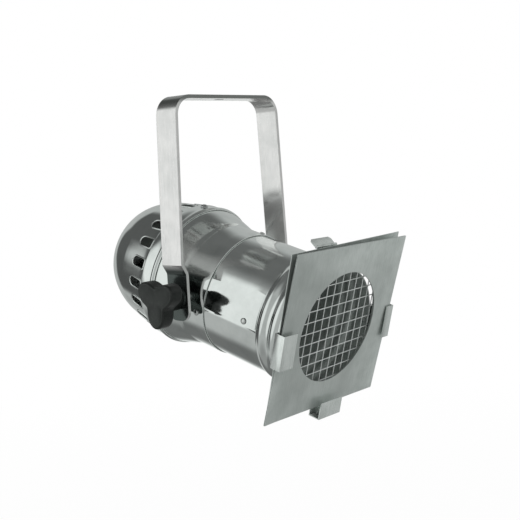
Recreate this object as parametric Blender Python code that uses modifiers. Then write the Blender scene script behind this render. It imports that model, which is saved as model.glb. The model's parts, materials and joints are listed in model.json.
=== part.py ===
"""Par can for a PAR 38 lamp, hung from its yoke, tilted nose down.

World frame: origin at the hanging hole, on the top face of the yoke's bar. +Z is up and
+X is the way the can throws its light. Everything that tilts is modelled in the can's own
frame, whose origin is the tilt pivot and whose +X is the can's axis.
Angles round the can are measured from the near side (-Y) towards the top (+Z).
"""
import math

import bmesh
import bpy
from mathutils import Matrix, Vector

# Fits and stock, in metres like every other length
CLEAR = 0.0003
SHEET = 0.001
PAST = 0.004

# Lamp, which sets the bore that it slides in
LAMP_R = 0.0605
LAMP_ROOM = 0.0025
LAMP_FACE_X = 0.062
LAMP_LENGTH = 0.1354
LENS_SAG = 0.006
LENS_EDGE = 0.0045
LENS_THICK = 0.0035
BOWL_WALL = 0.002
BOWL_NECK_LENGTH = 0.025
BOWL_NECK_ROUND = 0.0085
GLASS_END_R = 0.0165
FILAMENT_HALF = 0.0057
FILAMENT_WIRE = 0.001
FILAMENT_POST = 0.0005
SCREW_CAP_R = 0.0132
SCREW_CAP_LENGTH = 0.0245
SCREW_CAP_SKIRT_R = 0.0148
SCREW_CAP_END_R = 0.0106
CONTACT_SEAT_R = 0.0058
THREAD_PITCH = 0.0036
THREAD_DEPTH = 0.0009
CONTACT_R = 0.0045
CONTACT_TIP_R = 0.0022
CONTACT_THICK = 0.0018

# Front tube
TUBE_FRONT_X = 0.1365
TUBE_INSERT = 0.0167
BEAD_INSET = 0.0335
BEAD_PITCH = 0.0146
BEAD_HEIGHT = 0.0021
BEAD_COUNT = 2
SEAM_ANGLE = math.radians(-2.2)
SEAM_LAP = 0.011
SEAM_STEP = 0.0008
SEAM_END_GAP = 0.0012

# Rear housing
NECK_FRONT_X = 0.0257
CREASE_LENGTH = 0.004
CREASE_RISE = 0.0019
BAND_LENGTH = 0.0235
BAND_FLARE = 0.0089
SKIRT_LAP = 0.017
SKIRT_BARE = 0.0025

# Rear cap
LIP_WIDTH = 0.0065
LIP_HEIGHT = 0.0014
CAP_STEP = 0.0013
CAP_STEP_LENGTH = 0.002
SHOULDER_RUN = 0.037
SHOULDER_DROP = 0.0062
SHOULDER_PULL = 0.0163
DOME_LENGTH = 0.043
DOME_ROUND = 0.030
DOME_PULL = 0.014
SLOT_COUNT = 20
SLOT_WIDTH = 0.0098
SLOT_LENGTH = 0.0206
SLOT_PHASE = math.radians(12.9)

# Tilt clamps
BOLT_R = 0.004
BOLT_PLAY = 0.0004
BOLT_HEAD_FLATS = 0.013
BOLT_HEAD_HEIGHT = 0.0045
SPACER_R = 0.007
SPACER_LENGTH = 0.0071
WASHER_R = 0.0105
WASHER_THICK = 0.0016
KNOB_HUB_R = 0.012
KNOB_HUB_LENGTH = 0.0138
KNOB_HEAD_THICK = 0.016
KNOB_LOBE_R = 0.0275
KNOB_WAIST_R = 0.0145
KNOB_LOBES = 3
KNOB_EDGE = 0.002
KNOB_NEAR_PHASE = math.radians(42)
KNOB_FAR_PHASE = math.radians(20)
INSERT_R = 0.0062
INSERT_LENGTH = 0.0185

# Yoke
PIVOT_DROP = 0.2014
TILT = math.radians(15.09)
YOKE_WIDTH = 0.0282
YOKE_THICK = 0.0038
YOKE_SPLAY = math.radians(2.02)
YOKE_BEND_R = 0.021
JOGGLE_DEPTH = 0.0069
JOGGLE_TOP = 0.033
JOGGLE_FOOT = 0.024
PAD_END = 0.0235
PAD_CORNER_R = 0.010
HANG_HOLE_R = 0.0053

# Colour frame and guard, which stand in front of the tube's mouth
FRAME_SIDE = 0.170
FRAME_STANDOFF = 0.0044
FRAME_CENTRE_Z = 0.0059
FRAME_LEAN = math.radians(2.8)
FRAME_LEAF = 0.0005
FRAME_SLOT = 0.0004
WINDOW_R = 0.05675
GUARD_SHEET = 0.0008
GUARD_BEHIND = 0.0006
GUARD_LEAN = math.radians(1.23)
GUARD_YAW = math.radians(0.79)
GUARD_ROLL = math.radians(1.2)
GUARD_SHIFT_Y = 0.0012
MESH_LAP = 0.0035
MESH_RIM = 0.0015
MESH_PITCH = 0.0113
MESH_WIRE = 0.001

# Clips round the mouth
CLIP_SHEET = 0.0008
CLIP_WIDTH = 0.0342
LEFT_FRONT_PLAY = 0.0031
RIGHT_FRONT_PLAY = 0.0009
BOTTOM_FRONT_PLAY = 0.0018
CLIP_FOOT_WIDTH = 0.016
CLIP_FOOT_LENGTH = 0.0105
CLIP_RIVET_INSET = 0.0058
LEFT_PLAY = 0.0008
LEFT_CENTRE_Z = -0.0036
LEFT_LIP = 0.019
RIGHT_CENTRE_Z = -0.002
RIGHT_LIP = 0.0115
BOTTOM_PLAY = 0.0095
BOTTOM_CENTRE_Y = 0.007
BOTTOM_LIP = 0.0175
LATCH_CENTRE_Y = -0.032
LATCH_WIDTH = 0.030
LATCH_END_WIDTH = 0.0248
LATCH_LENGTH = 0.0101
LATCH_OPEN = math.radians(148)
LATCH_DROP = 0.0006
LATCH_EAR = 0.008
KNUCKLE_R = 0.0014
LATCH_PIN_R = 0.0007

# Rivets and screws
RIVET_R = 0.0016
RIVET_HEAD_R = 0.0032
RIVET_HEAD_HEIGHT = 0.0013
RIVET_TAIL_R = 0.0024
RIVET_TAIL_HEIGHT = 0.001
SEAM_RIVET_INSET = 0.0155
SEAM_RIVET_ANGLE = math.radians(0.8)
NECK_RIVET_INSET = 0.0097
NECK_RIVET_ANGLE = math.radians(-11)
NECK_RIVET_COUNT = 3
CAP_SCREW_INSET = 0.0118
CAP_SCREW_ANGLE = math.radians(88)
CAP_SCREW_COUNT = 2
SCREW_R = 0.0019
SCREW_HEAD_R = 0.004
SCREW_HEAD_TOP_R = 0.0022
SCREW_HEAD_HEIGHT = 0.0024
SCREW_HEAD_EDGE = 0.0015
SCREW_LENGTH = 0.008
RECESS_ARM = 0.002
RECESS_BLADE = 0.0005
RECESS_DEPTH = 0.0013
BACK_SCREW_HEAD_R = 0.0036

# Lampholder, its bracket, and what else the bracket carries
HOLDER_R = 0.021
HOLDER_PLAY = 0.0005
HOLDER_CHAMFER = 0.002
HOLDER_DEPTH = 0.024
HOLDER_BASE = 0.008
HOLDER_CONTACT_R = 0.0068
HOLDER_SCREW_Y = 0.0145
HOLDER_SCREW_DEPTH = 0.004
BRACKET_SHEET = 0.0015
BRACKET_WIDTH = 0.020
BRACKET_BASE_HALF = 0.038
BRACKET_FOOT = 0.0105
BRACKET_KNEE_GAP = 0.003
BRACKET_RIVET_INSET = 0.0035
EARTH_SCREW_Y = -0.028
BLOCK_Y = 0.029
BLOCK_LENGTH = 0.012
BLOCK_WIDTH = 0.013
BLOCK_HEIGHT = 0.016

# Cable gland in the cap's back
GLAND_Z = -0.022
GLAND_THREAD_R = 0.0078
GLAND_THREAD_LENGTH = 0.007
GLAND_FLANGE_R = 0.011
GLAND_FLANGE = 0.004
GLAND_DOME_R = 0.0095
GLAND_NOSE_R = 0.0071
GLAND_NOSE_LENGTH = 0.0035
GLAND_LENGTH = 0.014
GLAND_BORE_R = 0.004
GLAND_NUT = 0.004
GLAND_NUT_FLATS = 0.020

# Facets round the shells, the lamp and its holder, knobs and gland, and small parts
BIG_STEPS = 40
MID_STEPS = 32
HUB_STEPS = 20
SMALL_STEPS = 16
RIVET_STEPS = 12

# Radii that follow
TUBE_R = LAMP_R + LAMP_ROOM + SHEET
NECK_R = TUBE_R + CLEAR + SHEET
SKIRT_R = NECK_R + BAND_FLARE
CAP_R = SKIRT_R + CLEAR + SHEET
CAP_CREASE_R = CAP_R - CAP_STEP
SHOULDER_R = CAP_CREASE_R - SHOULDER_DROP
CAP_FLAT_R = SHOULDER_R - DOME_ROUND
BOLT_HOLE_R = BOLT_R + BOLT_PLAY
GUARD_WINDOW_R = TUBE_R - SHEET
MESH_R = GUARD_WINDOW_R + MESH_LAP

# Stations along the can that follow, front to back
FRAME_X = TUBE_FRONT_X + FRAME_STANDOFF
BEAD_FIRST_X = TUBE_FRONT_X - BEAD_INSET
SEAM_END_X = BEAD_FIRST_X - BEAD_PITCH / 2
SEAM_RIVET_X = SEAM_END_X - SEAM_RIVET_INSET
NECK_RIVET_X = NECK_FRONT_X - NECK_RIVET_INSET
TUBE_REAR_X = NECK_FRONT_X - TUBE_INSERT
NECK_REAR_X = -SPACER_R - SHEET
CREASE_X = NECK_REAR_X - CREASE_LENGTH
BAND_REAR_X = CREASE_X - BAND_LENGTH
CAP_FRONT_X = BAND_REAR_X - SKIRT_BARE
CAP_SCREW_X = CAP_FRONT_X - CAP_SCREW_INSET
SKIRT_REAR_X = CAP_FRONT_X - SKIRT_LAP
CAP_STEP_X = SKIRT_REAR_X - CAP_STEP_LENGTH
CAP_CREASE_X = CAP_STEP_X - CAP_STEP_LENGTH
SLOT_FRONT_X = CAP_CREASE_X - CLEAR
SHOULDER_X = CAP_CREASE_X - SHOULDER_RUN
CAP_BACK_X = SHOULDER_X - DOME_LENGTH

# Stations along the lamp and its holder that follow
LENS_BACK_X = LAMP_FACE_X - LENS_SAG - LENS_EDGE
LAMP_TIP_X = LAMP_FACE_X - LAMP_LENGTH
SCREW_CAP_FOOT_X = LAMP_TIP_X + CONTACT_THICK + CLEAR
SCREW_CAP_END_X = SCREW_CAP_FOOT_X + THREAD_PITCH / 2
GLASS_END_X = SCREW_CAP_END_X + SCREW_CAP_LENGTH
BOWL_NECK_X = GLASS_END_X + BOWL_NECK_LENGTH
BOWL_VERTEX_X = BOWL_NECK_X - BOWL_NECK_ROUND
BOWL_FOCUS = LAMP_R ** 2 / (4 * (LENS_BACK_X - BOWL_VERTEX_X))
HOLDER_FLOOR_X = LAMP_TIP_X - CONTACT_THICK - 2 * CLEAR
HOLDER_MOUTH_X = HOLDER_FLOOR_X + HOLDER_DEPTH
HOLDER_BACK_X = HOLDER_FLOOR_X - HOLDER_BASE
BRACKET_FRONT_X = HOLDER_BACK_X - CLEAR
BRACKET_BACK_X = BRACKET_FRONT_X - BRACKET_SHEET
BRACKET_KNEE_X = SKIRT_REAR_X - BRACKET_KNEE_GAP
BRACKET_RIVET_X = SKIRT_REAR_X + BRACKET_RIVET_INSET

# Stations across the can that follow
PAD_INNER_Y = NECK_R + SPACER_LENGTH
PAD_OUTER_Y = PAD_INNER_Y + YOKE_THICK
LEG_PIVOT_Y = PAD_OUTER_Y + JOGGLE_DEPTH
HUB_FACE_Y = PAD_OUTER_Y + WASHER_THICK + 2 * CLEAR
INSERT_END_Y = HUB_FACE_Y + INSERT_LENGTH
KNOB_HEAD_Y = HUB_FACE_Y + KNOB_HUB_LENGTH
FRAME_THICK = 2 * FRAME_LEAF + FRAME_SLOT
FRAME_HALF = FRAME_SIDE / 2
FRAME_BOTTOM_Z = FRAME_CENTRE_Z - FRAME_HALF
GUARD_REACH = FRAME_HALF * (math.cos(GUARD_ROLL) + math.sin(GUARD_ROLL)) + GUARD_SHIFT_Y
LEFT_WALL = FRAME_HALF + LEFT_PLAY + CLIP_SHEET
RIGHT_WALL = GUARD_REACH + CLEAR + CLIP_SHEET
BOTTOM_WALL = BOTTOM_PLAY - FRAME_BOTTOM_Z + CLIP_SHEET
CLIP_TOP_Z = max(LEFT_CENTRE_Z, RIGHT_CENTRE_Z) + CLIP_WIDTH / 2
LIP_X = FRAME_X + (CLIP_TOP_Z - FRAME_BOTTOM_Z) * math.tan(FRAME_LEAN)
LATCH_AXIS_Z = FRAME_CENTRE_Z + FRAME_HALF - LATCH_DROP


def clear_scene():
    """Remove whatever the file opened with."""
    for item in list(bpy.data.objects):
        bpy.data.objects.remove(item, do_unlink=True)


def new_collection(name):
    """A collection linked to the scene."""
    collection = bpy.data.collections.new(name)
    bpy.context.scene.collection.children.link(collection)
    return collection


def new_material(name, colour, metallic, roughness):
    """A plain Principled finish."""
    material = bpy.data.materials.new(name)
    material.use_nodes = True
    shader = material.node_tree.nodes["Principled BSDF"]
    shader.inputs["Base Color"].default_value = (*colour, 1.0)
    shader.inputs["Metallic"].default_value = metallic
    shader.inputs["Roughness"].default_value = roughness
    material.diffuse_color = (*colour, 1.0)
    return material


clear_scene()
PARTS = new_collection("par_can")
CUTTERS = new_collection("cutters")

POLISHED = new_material("polished_aluminium", (0.80, 0.82, 0.81), 1.0, 0.08)
SATIN = new_material("satin_aluminium", (0.66, 0.67, 0.66), 1.0, 0.35)
PLATE = new_material("satin_steel", (0.46, 0.50, 0.48), 1.0, 0.38)
WIRE = new_material("galvanised_wire", (0.50, 0.53, 0.51), 1.0, 0.40)
ZINC = new_material("zinc_plated_steel", (0.60, 0.61, 0.60), 1.0, 0.30)
BLACK = new_material("black_plastic", (0.02, 0.022, 0.022), 0.0, 0.45)
BRASS = new_material("brass", (0.70, 0.55, 0.28), 1.0, 0.30)
GLASS = new_material("lamp_glass", (0.75, 0.78, 0.78), 0.0, 0.10)
MIRROR = new_material("lamp_mirror", (0.82, 0.82, 0.80), 1.0, 0.12)
CERAMIC = new_material("white_ceramic", (0.78, 0.76, 0.70), 0.0, 0.45)


def new_frame(name, location, turn, parent):
    """An empty that carries the pieces placed from one point."""
    frame = bpy.data.objects.new(name, None)
    PARTS.objects.link(frame)
    frame.location = location
    frame.rotation_euler = turn
    frame.parent = parent
    return frame


CAN = new_frame("can_frame", (0, 0, -PIVOT_DROP), (0, TILT, 0), None)


def add_part(name, mesh, material, parent=CAN):
    """A named piece of the object."""
    item = bpy.data.objects.new(name, mesh)
    PARTS.objects.link(item)
    mesh.materials.append(material)
    mesh.shade_smooth()
    mesh.set_sharp_from_angle(angle=math.radians(32))
    item.parent = parent
    return item


def add_cutter(name, mesh, parent=CAN):
    """A solid that is only cut out of a piece, or joined to one."""
    item = bpy.data.objects.new(name, mesh)
    CUTTERS.objects.link(item)
    item.hide_render = True
    item.display_type = "WIRE"
    item.parent = parent
    return item


def boolean(item, operation, other):
    """Add an exact Boolean with another solid."""
    modifier = item.modifiers.new(operation.lower(), "BOOLEAN")
    modifier.operation = operation
    modifier.solver = "EXACT"
    modifier.object = other


def cut(item, *cutters):
    """Cut each of the given solids out of a piece."""
    for cutter in cutters:
        boolean(item, "DIFFERENCE", cutter)


def join(item, *solids):
    """Unite a piece with each of the given solids."""
    for solid in solids:
        boolean(item, "UNION", solid)


def box_mesh(low, high):
    """A box between two corners."""
    mesh = bpy.data.meshes.new("box")
    form = bmesh.new()
    bmesh.ops.create_cube(form, size=1)
    low, high = Vector(low), Vector(high)
    bmesh.ops.scale(form, vec=high - low, verts=form.verts)
    bmesh.ops.translate(form, vec=(low + high) / 2, verts=form.verts)
    form.to_mesh(mesh)
    form.free()
    return mesh


def rod_mesh(radius, low, high, steps=SMALL_STEPS, axis="Z", offset=(0, 0, 0)):
    """A cylinder along an axis, or a prism where the steps are few."""
    mesh = bpy.data.meshes.new("rod")
    form = bmesh.new()
    bmesh.ops.create_cone(form, cap_ends=True, segments=steps, radius1=radius,
                          radius2=radius, depth=high - low)
    bmesh.ops.translate(form, vec=(0, 0, (low + high) / 2), verts=form.verts)
    form.to_mesh(mesh)
    form.free()
    turns = {"X": Matrix.Rotation(math.pi / 2, 4, "Y"), "Y": Matrix.Rotation(-math.pi / 2, 4, "X"),
             "Z": Matrix.Identity(4)}
    mesh.transform(Matrix.Translation(offset) @ turns[axis])
    return mesh


def flat_mesh(outline, thickness):
    """A closed outline in XY as a sheet of the given thickness, centred on Z = 0."""
    curve = bpy.data.curves.new("outline", "CURVE")
    curve.dimensions = "2D"
    curve.fill_mode = "BOTH"
    curve.extrude = thickness / 2
    spline = curve.splines.new("POLY")
    spline.points.add(len(outline) - 1)
    for point, (x, y) in zip(spline.points, outline):
        point.co = (x, y, 0, 1)
    spline.use_cyclic_u = True
    holder = bpy.data.objects.new("outline", curve)
    CUTTERS.objects.link(holder)
    bpy.context.view_layer.update()
    graph = bpy.context.evaluated_depsgraph_get()
    mesh = bpy.data.meshes.new_from_object(holder.evaluated_get(graph))
    bpy.data.objects.remove(holder, do_unlink=True)
    form = bmesh.new()
    form.from_mesh(mesh)
    bmesh.ops.remove_doubles(form, verts=form.verts, dist=0.000001)
    bmesh.ops.recalc_face_normals(form, faces=form.faces)
    form.to_mesh(mesh)
    form.free()
    mesh.materials.clear()
    return mesh


def sheet_across(outline, width, centre_y=0.0):
    """An outline in the XZ plane, as a sheet of the given width across Y."""
    mesh = flat_mesh(outline, width)
    mesh.transform(Matrix.Translation((0, centre_y, 0)) @ Matrix.Rotation(math.pi / 2, 4, "X"))
    return mesh


def sheet_along(outline, length, start_x):
    """An outline in the YZ plane, as a sheet of the given length along X."""
    mesh = flat_mesh(outline, length)
    stand = Matrix.Rotation(math.pi / 2, 4, "Z") @ Matrix.Rotation(math.pi / 2, 4, "X")
    mesh.transform(Matrix.Translation((start_x + length / 2, 0, 0)) @ stand)
    return mesh


def offset_line(points, distance):
    """The open line moved sideways, to its left, with mitred corners."""
    places = [Vector(point) for point in points]
    runs = [(after - before).normalized() for before, after in zip(places, places[1:])]
    moved = []
    for place, back, ahead in zip(places, runs[:1] + runs, runs + runs[-1:]):
        side_back = Vector((-back.y, back.x))
        side_ahead = Vector((-ahead.y, ahead.x))
        middle = (side_back + side_ahead).normalized()
        moved.append(tuple(place + middle * distance / middle.dot(side_back)))
    return moved


def strip_outline(line, thickness):
    """A bent strip's closed outline, from its line and the sheet to the line's left."""
    return list(line) + offset_line(line, thickness)[::-1]


def arc(centre, radius, start, end, steps):
    """Points along an arc in a plane."""
    points = []
    for index in range(steps + 1):
        angle = start + (end - start) * index / steps
        points.append((centre[0] + radius * math.cos(angle), centre[1] + radius * math.sin(angle)))
    return points


def bezier(p0, p1, p2, p3, steps):
    """Points along a cubic curve in a plane."""
    points = []
    for index in range(steps + 1):
        t = index / steps
        weights = ((1 - t) ** 3, 3 * t * (1 - t) ** 2, 3 * t * t * (1 - t), t ** 3)
        pairs = list(zip(weights, (p0, p1, p2, p3)))
        points.append((sum(w * p[0] for w, p in pairs), sum(w * p[1] for w, p in pairs)))
    return points


def raised(x, centre, width, height):
    """A rounded bead's height above its sheet at a station."""
    phase = (x - centre) / width
    if abs(phase) >= 0.5:
        return 0.0
    return height * math.cos(math.pi * phase) ** 2


def shell(outer, thickness):
    """Close an open outer profile, run top to bottom, with its inner side."""
    return list(outer) + offset_line(outer, -thickness)[::-1]


def turned(name, profile, steps, material, parent=CAN, closed=False):
    """A turned piece along its own Z, from (radius, height) points down its outer side."""
    mesh = bpy.data.meshes.new(name)
    count = len(profile)
    edges = [(index, index + 1) for index in range(count - 1)]
    if closed:
        edges.append((count - 1, 0))
    mesh.from_pydata([(radius, 0, height) for radius, height in profile], edges, [])
    item = add_part(name, mesh, material, parent)
    screw = item.modifiers.new("turn", "SCREW")
    screw.axis = "Z"
    screw.steps = steps
    screw.render_steps = steps
    screw.use_merge_vertices = True
    screw.merge_threshold = 0.00001
    screw.use_smooth_shade = True
    return item


def along_can(item, y=0.0):
    """Lay a turned piece along the can, its top towards the front."""
    item.rotation_euler = (0, math.pi / 2, 0)
    item.location = (0, y, 0)
    return item


def stand_out(item, x, angle):
    """Set a piece's Z outwards from the can's axis, at a station and an angle."""
    item.location = (x, 0, 0)
    item.rotation_euler = (math.pi / 2 - angle, 0, 0)
    return item


def tube_bore(name, parent):
    """A cutter that leaves the usual gap round the front tube."""
    bore = rod_mesh(TUBE_R + CLEAR, TUBE_REAR_X, FRAME_X + TUBE_R, BIG_STEPS, "X")
    return add_cutter(name, bore, parent)


def rivet(name, x, angle, outer_r, inner_r):
    """A rivet with a domed head outside and a small set head inside."""
    head = outer_r + CLEAR
    tail = inner_r - CLEAR
    profile = [(0, head + RIVET_HEAD_HEIGHT)]
    for rise in (math.radians(60), math.radians(30), 0):
        profile.append((RIVET_HEAD_R * math.cos(rise), head + RIVET_HEAD_HEIGHT * math.sin(rise)))
    profile += [(RIVET_R, head), (RIVET_R, tail), (RIVET_TAIL_R, tail), (0, tail - RIVET_TAIL_HEIGHT)]
    return stand_out(turned(name, profile, RIVET_STEPS, SATIN), x, angle)


def rivet_hole(name, x, angle, low, high):
    """The cutter for a rivet's hole."""
    return stand_out(add_cutter(name, rod_mesh(RIVET_R + CLEAR, low, high, RIVET_STEPS)), x, angle)


def build_yoke():
    """Flat bar bent to a U: hanging hole on top, joggled pads with a bolt hole each."""
    lean = math.tan(YOKE_SPLAY)
    pivot_z = -PIVOT_DROP
    top_half = LEG_PIVOT_Y - PIVOT_DROP * lean
    bend_turn = math.pi / 2 - YOKE_SPLAY
    bend_centre = (top_half - YOKE_BEND_R * math.tan(bend_turn / 2), -YOKE_BEND_R)
    side = [(PAD_OUTER_Y, pivot_z - PAD_END), (PAD_OUTER_Y, pivot_z + JOGGLE_FOOT),
            (LEG_PIVOT_Y - JOGGLE_TOP * lean, pivot_z + JOGGLE_TOP)]
    side += arc(bend_centre, YOKE_BEND_R, math.pi / 2 - bend_turn, math.pi / 2, 8)
    other = [(-y, z) for y, z in side[::-1]]
    outline = strip_outline(side + other, YOKE_THICK)
    yoke = add_part("yoke", sheet_along(outline, YOKE_WIDTH, -YOKE_WIDTH / 2), SATIN, None)
    hang = rod_mesh(HANG_HOLE_R, -YOKE_THICK - PAST, PAST, MID_STEPS)
    bolts = rod_mesh(BOLT_HOLE_R, -LEG_PIVOT_Y, LEG_PIVOT_Y, HUB_STEPS, "Y", (0, 0, pivot_z))
    cut(yoke, add_cutter("hang_hole", hang, None), add_cutter("yoke_bolt_holes", bolts, None))
    edge = YOKE_WIDTH / 2
    end = pivot_z - PAD_END
    corner = arc((edge - PAD_CORNER_R, end + PAD_CORNER_R), PAD_CORNER_R, 0, -math.pi / 2, 6)
    corner += [(edge - PAD_CORNER_R, end - PAST), (edge + PAST, end - PAST),
               (edge + PAST, end + PAD_CORNER_R)]
    for sign in (-1, 1):
        outline = [(sign * x, z) for x, z in corner]
        cut(yoke, add_cutter(f"pad_corner_{sign}", sheet_across(outline, 2 * LEG_PIVOT_Y), None))


def build_front_tube():
    """Rolled tube with beads near its mouth and a lap seam along its side."""
    outer = [(TUBE_R, TUBE_FRONT_X)]
    for index in reversed(range(4 * BEAD_COUNT + 1)):
        station = SEAM_END_X + BEAD_PITCH * index / 4
        centre = SEAM_END_X + BEAD_PITCH * (index // 4 + 0.5)
        outer.append((TUBE_R + raised(station, centre, BEAD_PITCH, BEAD_HEIGHT), station))
    outer.append((TUBE_R, TUBE_REAR_X))
    tube = along_can(turned("front_tube", shell(outer, SHEET), BIG_STEPS, POLISHED, CAN, True))
    seam_start = NECK_FRONT_X + SEAM_END_GAP
    seam_top = SEAM_ANGLE + SEAM_LAP / TUBE_R
    band = arc((0, 0), TUBE_R + SEAM_STEP, math.pi - SEAM_ANGLE, math.pi - seam_top, 4)
    band += arc((0, 0), TUBE_R - SHEET / 2, math.pi - seam_top, math.pi - SEAM_ANGLE, 4)
    join(tube, add_cutter("seam_lap", sheet_along(band, SEAM_END_X - seam_start, seam_start)))
    return tube


def build_rear_housing():
    """Spun housing: neck round the tube, flared band, and a skirt inside the cap."""
    outer = [(NECK_R, NECK_FRONT_X), (NECK_R, NECK_REAR_X), (NECK_R + CREASE_RISE, CREASE_X),
             (SKIRT_R, BAND_REAR_X), (SKIRT_R, SKIRT_REAR_X)]
    return along_can(turned("rear_housing", shell(outer, SHEET), BIG_STEPS, POLISHED, CAN, True))


def build_rear_cap():
    """Spun cap with a rolled lip, a ring of cooling slots and a domed back."""
    lip_centre = CAP_FRONT_X - LIP_WIDTH / 2
    lip = [(CAP_R, CAP_FRONT_X)]
    for share in (0.25, 0, -0.25):
        x = lip_centre + LIP_WIDTH * share
        lip.append((CAP_R + raised(x, lip_centre, LIP_WIDTH, LIP_HEIGHT), x))
    slope = SHOULDER_DROP / SHOULDER_RUN
    pull = (SHOULDER_R - SHOULDER_PULL * slope, SHOULDER_X - SHOULDER_PULL)
    body = [(CAP_R, CAP_FRONT_X - LIP_WIDTH), (CAP_R, CAP_STEP_X), (CAP_CREASE_R, CAP_CREASE_X)]
    body += bezier((SHOULDER_R, SHOULDER_X), pull, (CAP_FLAT_R + DOME_PULL, CAP_BACK_X),
                   (CAP_FLAT_R, CAP_BACK_X), 7)
    profile = [(0, CAP_BACK_X + SHEET)] + offset_line(body, -SHEET)[::-1]
    profile += [(CAP_R - SHEET, CAP_FRONT_X)] + lip + body + [(0, CAP_BACK_X)]
    cap = along_can(turned("rear_cap", profile, BIG_STEPS, POLISHED))
    round_end = SLOT_FRONT_X - SLOT_LENGTH + SLOT_WIDTH / 2
    outline = arc((round_end, 0), SLOT_WIDTH / 2, math.pi / 2, 1.5 * math.pi, 5)
    outline += [(SLOT_FRONT_X, -SLOT_WIDTH / 2), (SLOT_FRONT_X, SLOT_WIDTH / 2)]
    slot = flat_mesh(outline, CAP_R / 2)
    slot.transform(Matrix.Translation((0, 0, CAP_R)))
    form = bmesh.new()
    for index in range(SLOT_COUNT):
        angle = SLOT_PHASE + 2 * math.pi * index / SLOT_COUNT
        copy = slot.copy()
        copy.transform(Matrix.Rotation(math.pi / 2 - angle, 4, "X"))
        form.from_mesh(copy)
        bpy.data.meshes.remove(copy)
    ring = bpy.data.meshes.new("slots")
    form.to_mesh(ring)
    form.free()
    cut(cap, add_cutter("slot_ring", ring))
    return cap


def build_clamp(side, turn, phase, housing):
    """One side's tilt clamp, drawn outwards along its own Z from the can's axis."""
    clamp = new_frame(f"clamp_{side}", (0, 0, 0), (turn, 0, 0), CAN)
    head_r = BOLT_HEAD_FLATS / math.sqrt(3)
    head_top = math.sqrt((NECK_R - SHEET) ** 2 - head_r ** 2) - CLEAR
    head_low = head_top - BOLT_HEAD_HEIGHT
    bolt = add_part(f"clamp_bolt_{side}", rod_mesh(BOLT_R, head_low, INSERT_END_Y - SHEET), ZINC, clamp)
    join(bolt, add_cutter(f"bolt_head_{side}", rod_mesh(head_r, head_low, head_top, 6), clamp))
    hole = rod_mesh(BOLT_HOLE_R, head_low, PAD_OUTER_Y)
    cut(housing, add_cutter(f"neck_bolt_hole_{side}", hole, clamp))
    seat = PAD_INNER_Y - CLEAR
    low = NECK_R - SPACER_R
    profile = [(SPACER_R, seat), (SPACER_R, low), (BOLT_HOLE_R, low), (BOLT_HOLE_R, seat)]
    spacer = turned(f"clamp_spacer_{side}", profile, SMALL_STEPS, ZINC, clamp, True)
    saddle = rod_mesh(NECK_R + CLEAR, NECK_REAR_X - PAST, NECK_FRONT_X, BIG_STEPS, "X")
    cut(spacer, add_cutter(f"spacer_saddle_{side}", saddle, clamp))
    low = PAD_OUTER_Y + CLEAR
    top = low + WASHER_THICK
    profile = [(WASHER_R, top), (WASHER_R, low), (BOLT_HOLE_R, low), (BOLT_HOLE_R, top)]
    turned(f"clamp_washer_{side}", profile, SMALL_STEPS, ZINC, clamp, True)
    low = HUB_FACE_Y
    top = INSERT_END_Y
    profile = [(INSERT_R, top), (INSERT_R, low), (BOLT_HOLE_R, low), (BOLT_HOLE_R, top)]
    turned(f"knob_insert_{side}", profile, SMALL_STEPS, BRASS, clamp, True)
    build_knob(side, phase, clamp)


def build_knob(side, phase, clamp):
    """Lobed hand knob with a round hub and a blind bore for its threaded insert."""
    mean = (KNOB_LOBE_R + KNOB_WAIST_R) / 2
    swing = (KNOB_LOBE_R - KNOB_WAIST_R) / 2
    steps = 12 * KNOB_LOBES
    outline = []
    for index in range(steps):
        angle = 2 * math.pi * index / steps
        radius = mean + swing * math.cos(KNOB_LOBES * (angle - phase))
        outline.append((radius * math.cos(angle), radius * math.sin(angle)))
    mesh = flat_mesh(outline, KNOB_HEAD_THICK)
    mesh.transform(Matrix.Translation((0, 0, KNOB_HEAD_Y + KNOB_HEAD_THICK / 2)))
    knob = add_part(f"clamp_knob_{side}", mesh, BLACK, clamp)
    bevel = knob.modifiers.new("edges", "BEVEL")
    bevel.width = KNOB_EDGE
    bevel.segments = 1
    bevel.limit_method = "ANGLE"
    bevel.angle_limit = math.radians(60)
    hub = rod_mesh(KNOB_HUB_R, HUB_FACE_Y, KNOB_HEAD_Y + KNOB_EDGE, HUB_STEPS)
    bore = rod_mesh(INSERT_R + CLEAR, HUB_FACE_Y - PAST, INSERT_END_Y + CLEAR)
    join(knob, add_cutter(f"knob_hub_{side}", hub, clamp))
    cut(knob, add_cutter(f"knob_bore_{side}", bore, clamp))


def build_colour_frame():
    """Sheet folded double along its bottom edge, with a round window through both leaves."""
    place = new_frame("colour_frame_place", (FRAME_X, 0, FRAME_BOTTOM_Z), (0, FRAME_LEAN, 0), CAN)
    fold_r = FRAME_THICK / 2
    line = [(-FRAME_THICK, FRAME_SIDE)] + arc((-fold_r, fold_r), fold_r, -math.pi, 0, 6)
    line += [(0, FRAME_SIDE)]
    sheet = sheet_across(strip_outline(line, FRAME_LEAF), FRAME_SIDE)
    frame = add_part("colour_frame", sheet, PLATE, place)
    window = rod_mesh(WINDOW_R, -PAST, PAST, BIG_STEPS, "X", (0, 0, FRAME_HALF))
    cut(frame, add_cutter("frame_window", window, place))


def guard_place():
    """The guard's own frame in the can's: X out of its front face, Z up its sheet."""
    turn = Matrix.Rotation(GUARD_YAW, 4, "Z") @ Matrix.Rotation(GUARD_LEAN, 4, "Y")
    turn = turn @ Matrix.Rotation(GUARD_ROLL, 4, "X")
    normal = turn.to_3x3() @ Vector((1, 0, 0))
    corner = Vector((FRAME_X - FRAME_THICK - GUARD_BEHIND, -FRAME_HALF, FRAME_BOTTOM_Z))
    centre = Vector((0, GUARD_SHIFT_Y, FRAME_CENTRE_Z))
    centre.x = normal.dot(corner - centre) / normal.x
    return Matrix.Translation(centre) @ turn


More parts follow.
